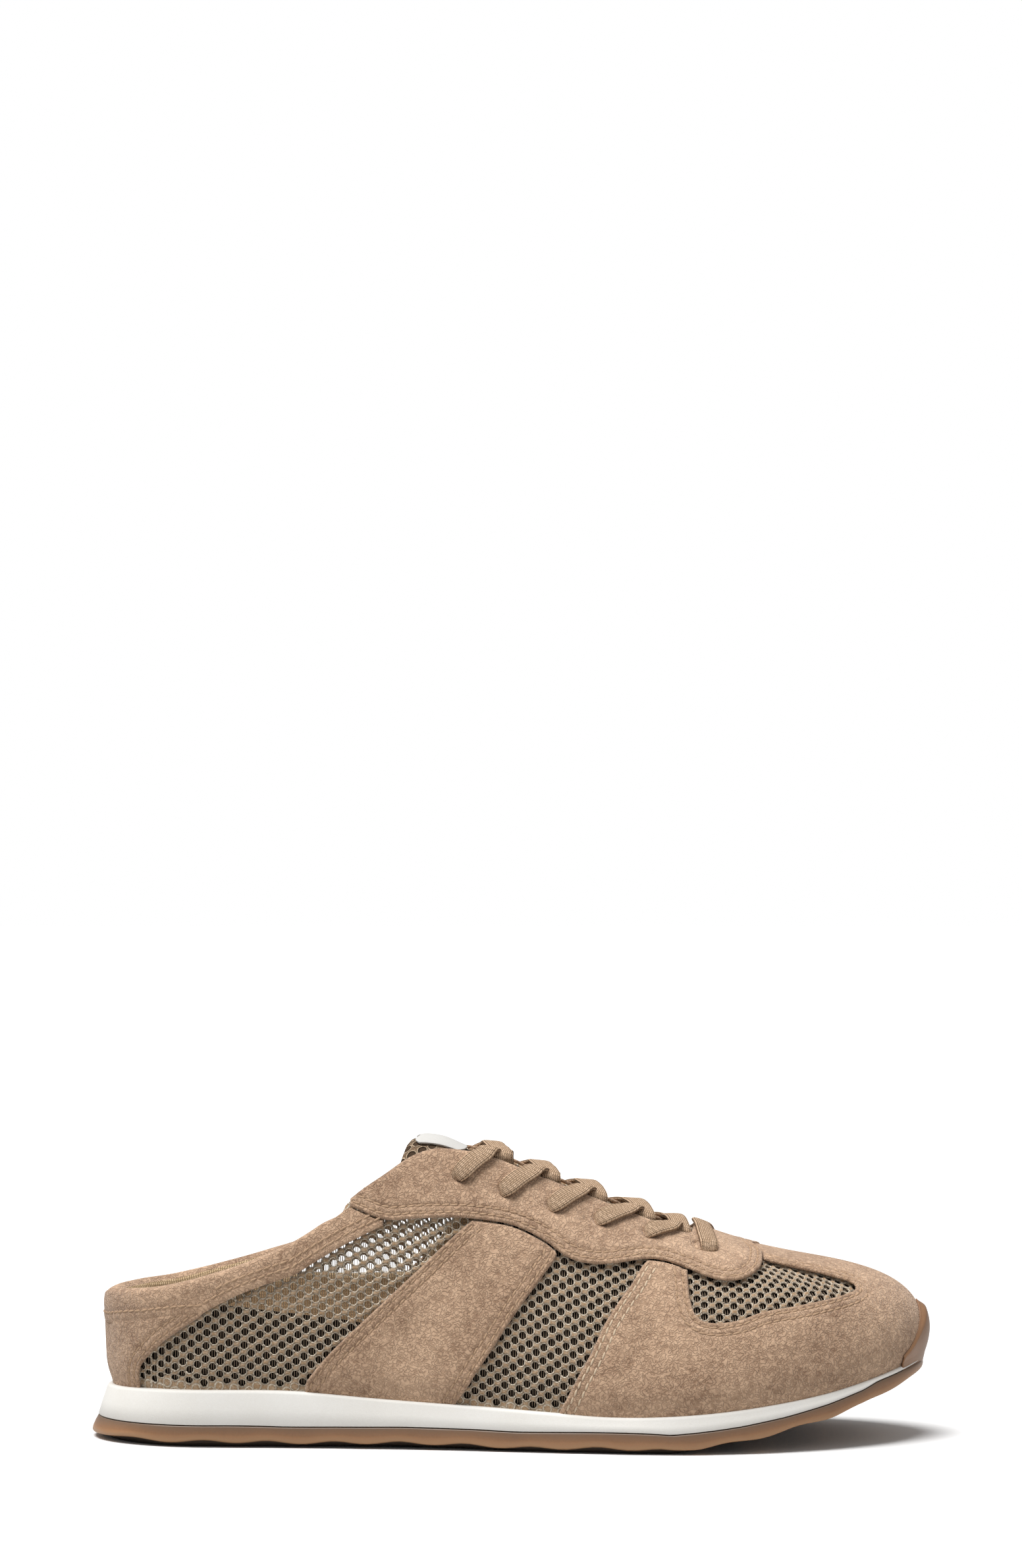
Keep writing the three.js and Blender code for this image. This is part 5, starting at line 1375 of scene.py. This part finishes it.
soft = label.modifiers.new("soft edge", "BEVEL")
soft.width = 0.00018
soft.segments = 2
soft.limit_method = "ANGLE"
bpy.ops.object.modifier_apply(modifier="soft edge")
label.data.shade_smooth()
finished(label, "tongue_label")

# Laces: flat woven cord 6 mm wide with a chevron weave and stitched selvedges, run through the eyelets and
# crossed over the tongue, with a straight bar at the front pair. Their ends stop inside the top eyelets.
LACE_WIDTH = 6.2
LACE_THICK = 1.7
LACE_REST = GAP + SUEDE + GAP + LACE_THICK / 2
woven, tree, shader = material("woven lace", "c4a381", 0.85, 0.2)
whole, crosswise, lengthwise = own_map(tree)
fold = node(tree, "ShaderNodeMath", operation="ABSOLUTE")
tree.links.new(crosswise, fold.inputs[0])
slanted = times(tree, lengthwise, times(tree, fold.outputs[0], 0.9), "ADD")
plait = node(tree, "ShaderNodeCombineXYZ")
tree.links.new(slanted, plait.inputs[0])
tree.links.new(crosswise, plait.inputs[1])
ribs = node(tree, "ShaderNodeTexBrick", Scale=1.0)
ribs.offset = 0.5
PICK = 0.62
for key, value in (("Brick Width", 1.25), ("Row Height", PICK), ("Mortar Size", 0.1),
                   ("Mortar Smooth", 0.9), ("Bias", 0.0)):
    ribs.inputs[key].default_value = value
ribs.inputs["Color1"].default_value = colour("dfc0a2")
ribs.inputs["Color2"].default_value = colour("c5a688")
ribs.inputs["Mortar"].default_value = colour("745c46")
tree.links.new(plait.outputs[0], ribs.inputs["Vector"])
beat = times(tree, times(tree, times(tree, lengthwise, PICK, "DIVIDE"), 1.0, "FRACT"), 0.5, "LESS_THAN")
band = node(tree, "ShaderNodeMath", operation="COMPARE")
band.inputs[1].default_value = 2.45
band.inputs[2].default_value = 0.16
tree.links.new(fold.outputs[0], band.inputs[0])
pinhole = times(tree, beat, band.outputs[0])
dotted = blend(tree, times(tree, pinhole, 0.8), ribs.outputs["Color"], colour("4c3a2a"))
hairs = speckled(tree, 3000.0, 3.0)
dusty = blend(tree, times(tree, spread_to(tree, hairs, 0.35, 0.7), 0.35), dotted, colour("8f7358"))
tree.links.new(dusty, shader.inputs["Base Color"])
relief = times(tree, times(tree, ribs.outputs["Fac"], -1.0), times(tree, pinhole, -1.5), "ADD")
relief = times(tree, relief, times(tree, hairs, 0.5), "ADD")
raised(tree, shader, relief, 0.00035, 0.8)


def through(points, count):
    """An even run through control points, rounded as a lace bends."""
    p = np.vstack([2 * points[0] - points[1], points, 2 * points[-1] - points[-2]])
    made = []
    for k in range(1, len(p) - 2):
        t = np.linspace(0, 1, 16, endpoint=False)[:, None]
        made.append(between(*p[k - 1:k + 3], t))
    made = np.vstack(made + [p[-2:-1]])
    run = np.concatenate([[0], np.cumsum(np.linalg.norm(np.diff(made[:, :3], axis=0), axis=1))])
    at = np.linspace(0, run[-1], count)
    return at, np.stack([np.interp(at, run, made[:, k]) for k in range(made.shape[1])], 1)


def laid(lateral, along, girth, over, tilt=0.0):
    """A place over one side of the last and the way its surface faces, tilted up by a share."""
    lap = np.array([2 - along if lateral else along])
    facing = normal_at(lap, np.array([girth]))[0] * (1 - tilt) + np.array([0, 0, tilt])
    return over_last(lap, np.array([girth]), np.array([over]))[0], facing / np.linalg.norm(facing)


def lace_strand(stops, wide, count=84, section=20):
    """Corners and quads of one strand. Stops are (place, facing); wide is a share of the lace's width."""
    place, normal = np.array([s[0] for s in stops]), np.array([s[1] for s in stops])
    at, line = through(np.hstack([place, normal, np.array(wide)[:, None]]), count)
    centre, up, share = line[:, :3], line[:, 3:6], np.clip(line[:, 6], 0.3, 1.05)
    run = np.gradient(centre, axis=0)
    run /= np.linalg.norm(run, axis=1, keepdims=True)
    across = np.cross(run, up)
    for k in range(1, count):
        if np.dot(across[k], across[k - 1]) < 0:
            across[k] *= -1
    for _ in range(4):
        across[1:-1] = across[1:-1] * 0.5 + (across[:-2] + across[2:]) * 0.25
    across -= run * (across * run).sum(1, keepdims=True)
    across /= np.linalg.norm(across, axis=1, keepdims=True)
    over = np.cross(across, run)
    turn = np.arange(section) / section * 2 * np.pi
    wide = np.sign(np.cos(turn)) * np.abs(np.cos(turn)) ** 0.7 * LACE_WIDTH / 2
    high = np.sign(np.sin(turn)) * np.abs(np.sin(turn)) ** 0.75 * LACE_THICK / 2
    thick = 1 + 0.35 * (1 - share)
    points = (centre[:, None] + across[:, None] * (wide[None, :, None] * share[:, None, None])
              + over[:, None] * (high[None, :, None] * thick[:, None, None]))
    uv = np.stack(np.broadcast_arrays(wide[None, :], at[:, None]), -1).reshape(-1, 2)
    return points.reshape(-1, 3), tube_faces(count, section), uv


def crossing(name, parts, node_name):
    points, faces, uv, base = [], [], [], 0
    for p, f, u in parts:
        points.append(p)
        uv.append(u)
        faces += [[base + v for v in q] for q in f]
        base += len(p)
    piece = new_piece(name, np.concatenate(points), faces, woven)
    write_uv(piece, np.concatenate(uv))
    outward(piece)
    finished(piece, node_name)


# A strand lies on its own flap, bends over the flap's edge and runs taut to the edge of the other flap,
# which it goes under. The strand from the medial side lies on top where two cross.
for k in range(len(EYELETS) - 1):
    here, ahead = EYELETS[k], EYELETS[k + 1]
    reach = 0.72 if k == len(EYELETS) - 2 else 1.0
    parts = []
    for lateral, lift in ((True, -0.15), (False, LACE_THICK)):
        def mix(t):
            return here[0] + (ahead[0] - here[0]) * t * reach
        rim = float(open_edge(np.array(mix(0.56)), lateral))
        far_rim = float(open_edge(np.array(mix(0.98)), not lateral))
        rise = (rim - here[1]) / 2
        bent = laid(lateral, mix(0.60), rim + 0.022, LACE_REST - 0.1, 0.7)
        under = laid(not lateral, mix(0.95), far_rim + 0.035, 0.9 if lift > 0 else 0.0, 0.6)
        half_way = (bent[0] + under[0]) / 2
        rests = [laid(side, mix(0.78), edge, LACE_REST)[0][2] for side, edge in
                 ((lateral, rim), (not lateral, far_rim))]
        half_way[2] = sum(rests) / 2 + lift
        up = np.array([0, 0, 1.0])
        quarter = (bent[0] * 0.5 + half_way * 0.5) + up * (0.35 if lift > 0 else 0)
        three_quarters = (half_way * 0.5 + under[0] * 0.5) + up * (0.5 if lift > 0 else 0)
        stops = [
            laid(lateral, mix(0.05), here[1] + 0.05 * rise, -2.4),
            laid(lateral, mix(-0.05), here[1] - 0.12 * rise, 0.9),
            laid(lateral, mix(0.06), here[1] + 0.16 * rise, LACE_REST + 0.3),
            laid(lateral, mix(0.28), (here[1] + rim) / 2, LACE_REST + 0.1 * LACE_THICK, 0.1),
            laid(lateral, mix(0.50), rim - 0.012, LACE_REST + 0.1, 0.35),
            bent, (quarter, up), (half_way, up), (three_quarters, up), under,
            laid(not lateral, mix(0.99), far_rim + 0.004, -1.7, 0.2),
            laid(not lateral, mix(1.02), far_rim - 0.05, -3.0)]
        parts.append(lace_strand(stops, (0.55, 0.74, 0.97, 1, 1, 1, 1, 1, 1, 1, 0.97, 0.9)))
    crossing("lace_crossing_%d_woven" % (k + 1), parts, "lace_crossing_%d" % (k + 1))
front = EYELETS[-1]
bar_at = front[0] + 0.01
half_bar = [(-2.4, front[1] + 0.006, 0.55), (0.9, front[1] - 0.022, 0.72),
            (LACE_REST + 0.35, front[1] + 0.005, 0.95), (LACE_REST, 0.82, 1.0), (LACE_REST, 0.92, 1.0)]
stops = [laid(True, bar_at, g, o) for o, g, w in half_bar] + [laid(True, bar_at, 1.0, LACE_REST)]
stops += [laid(False, bar_at, g, o) for o, g, w in half_bar[::-1]]
wide = [w for o, g, w in half_bar] + [1.0] + [w for o, g, w in half_bar[::-1]]
crossing("lace_bar_woven", [lace_strand(stops, wide)], "lace_bar")

# Stage: a white floor and surround, brighter to the camera than to the shoe, under a broad overhead light
def by_sight(tree, unseen, seen, end):
    """One shader for what the camera sees and another for the light that comes off it."""
    path, either = tree.nodes.new("ShaderNodeLightPath"), tree.nodes.new("ShaderNodeMixShader")
    for k, socket in enumerate((path.outputs["Is Camera Ray"], unseen, seen)):
        tree.links.new(socket, either.inputs[k])
    tree.links.new(either.outputs[0], end.inputs["Surface"])


white, tree, shader = material("white floor", "ffffff", 0.9, 0.0)
shade = node(tree, "ShaderNodeBsdfDiffuse")
shade.inputs["Color"].default_value = (0.55, 0.55, 0.55, 1)
by_sight(tree, shade.outputs[0], shader.outputs[0], tree.nodes["Material Output"])
bpy.ops.mesh.primitive_plane_add(size=12.0, location=(0, 0, 0))
floor = bpy.context.active_object
floor.name = "floor"
floor.data.materials.append(white)
world = bpy.data.worlds.new("studio")
bpy.context.scene.world = world
world.use_nodes = True
sky = world.node_tree
dome = sky.nodes["Background"]
dome.inputs["Color"].default_value = (1, 1, 1, 1)
dome.inputs["Strength"].default_value = 0.3
paper = node(sky, "ShaderNodeBackground", Strength=1.0)
paper.inputs["Color"].default_value = (1, 1, 1, 1)
by_sight(sky, dome.outputs[0], paper.outputs[0], sky.nodes["World Output"])
overhead = bpy.data.objects.new("overhead", bpy.data.lights.new("overhead", "SUN"))
bpy.context.collection.objects.link(overhead)
overhead.data.energy = 3.6
overhead.data.angle = math.radians(38)
overhead.rotation_mode = "QUATERNION"
overhead.rotation_quaternion = Vector((-0.22, -0.16, 0.97)).to_track_quat("Z", "Y")
bpy.context.scene.view_settings.view_transform = "Standard"

# Camera: level with the photograph's own, a little above the floor and just behind square on
FRAME_HEIGHT, FOCAL_PIXELS, MIDDLE_ROW = 2380, 7119, 1963.5
target = Vector((-0.0000705, -0.0004198, 0.045))
elevation, azimuth, distance = math.radians(6.0), math.radians(1.5), 1.5
level = math.cos(elevation)
back = Vector((math.sin(azimuth) * level, -math.cos(azimuth) * level, math.sin(elevation)))
camera = bpy.data.objects.new("camera", bpy.data.cameras.new("camera"))
bpy.context.collection.objects.link(camera)
camera.data.sensor_fit = "VERTICAL"
camera.data.sensor_height = 36.0
camera.data.lens = camera.data.sensor_height * FOCAL_PIXELS / FRAME_HEIGHT
camera.location = target + back * distance
camera.rotation_mode = "QUATERNION"
drop = math.atan((MIDDLE_ROW - FRAME_HEIGHT / 2) / FOCAL_PIXELS)
camera.rotation_quaternion = (-back).to_track_quat("-Z", "Y") @ Quaternion((1, 0, 0), drop)
bpy.context.scene.camera = camera
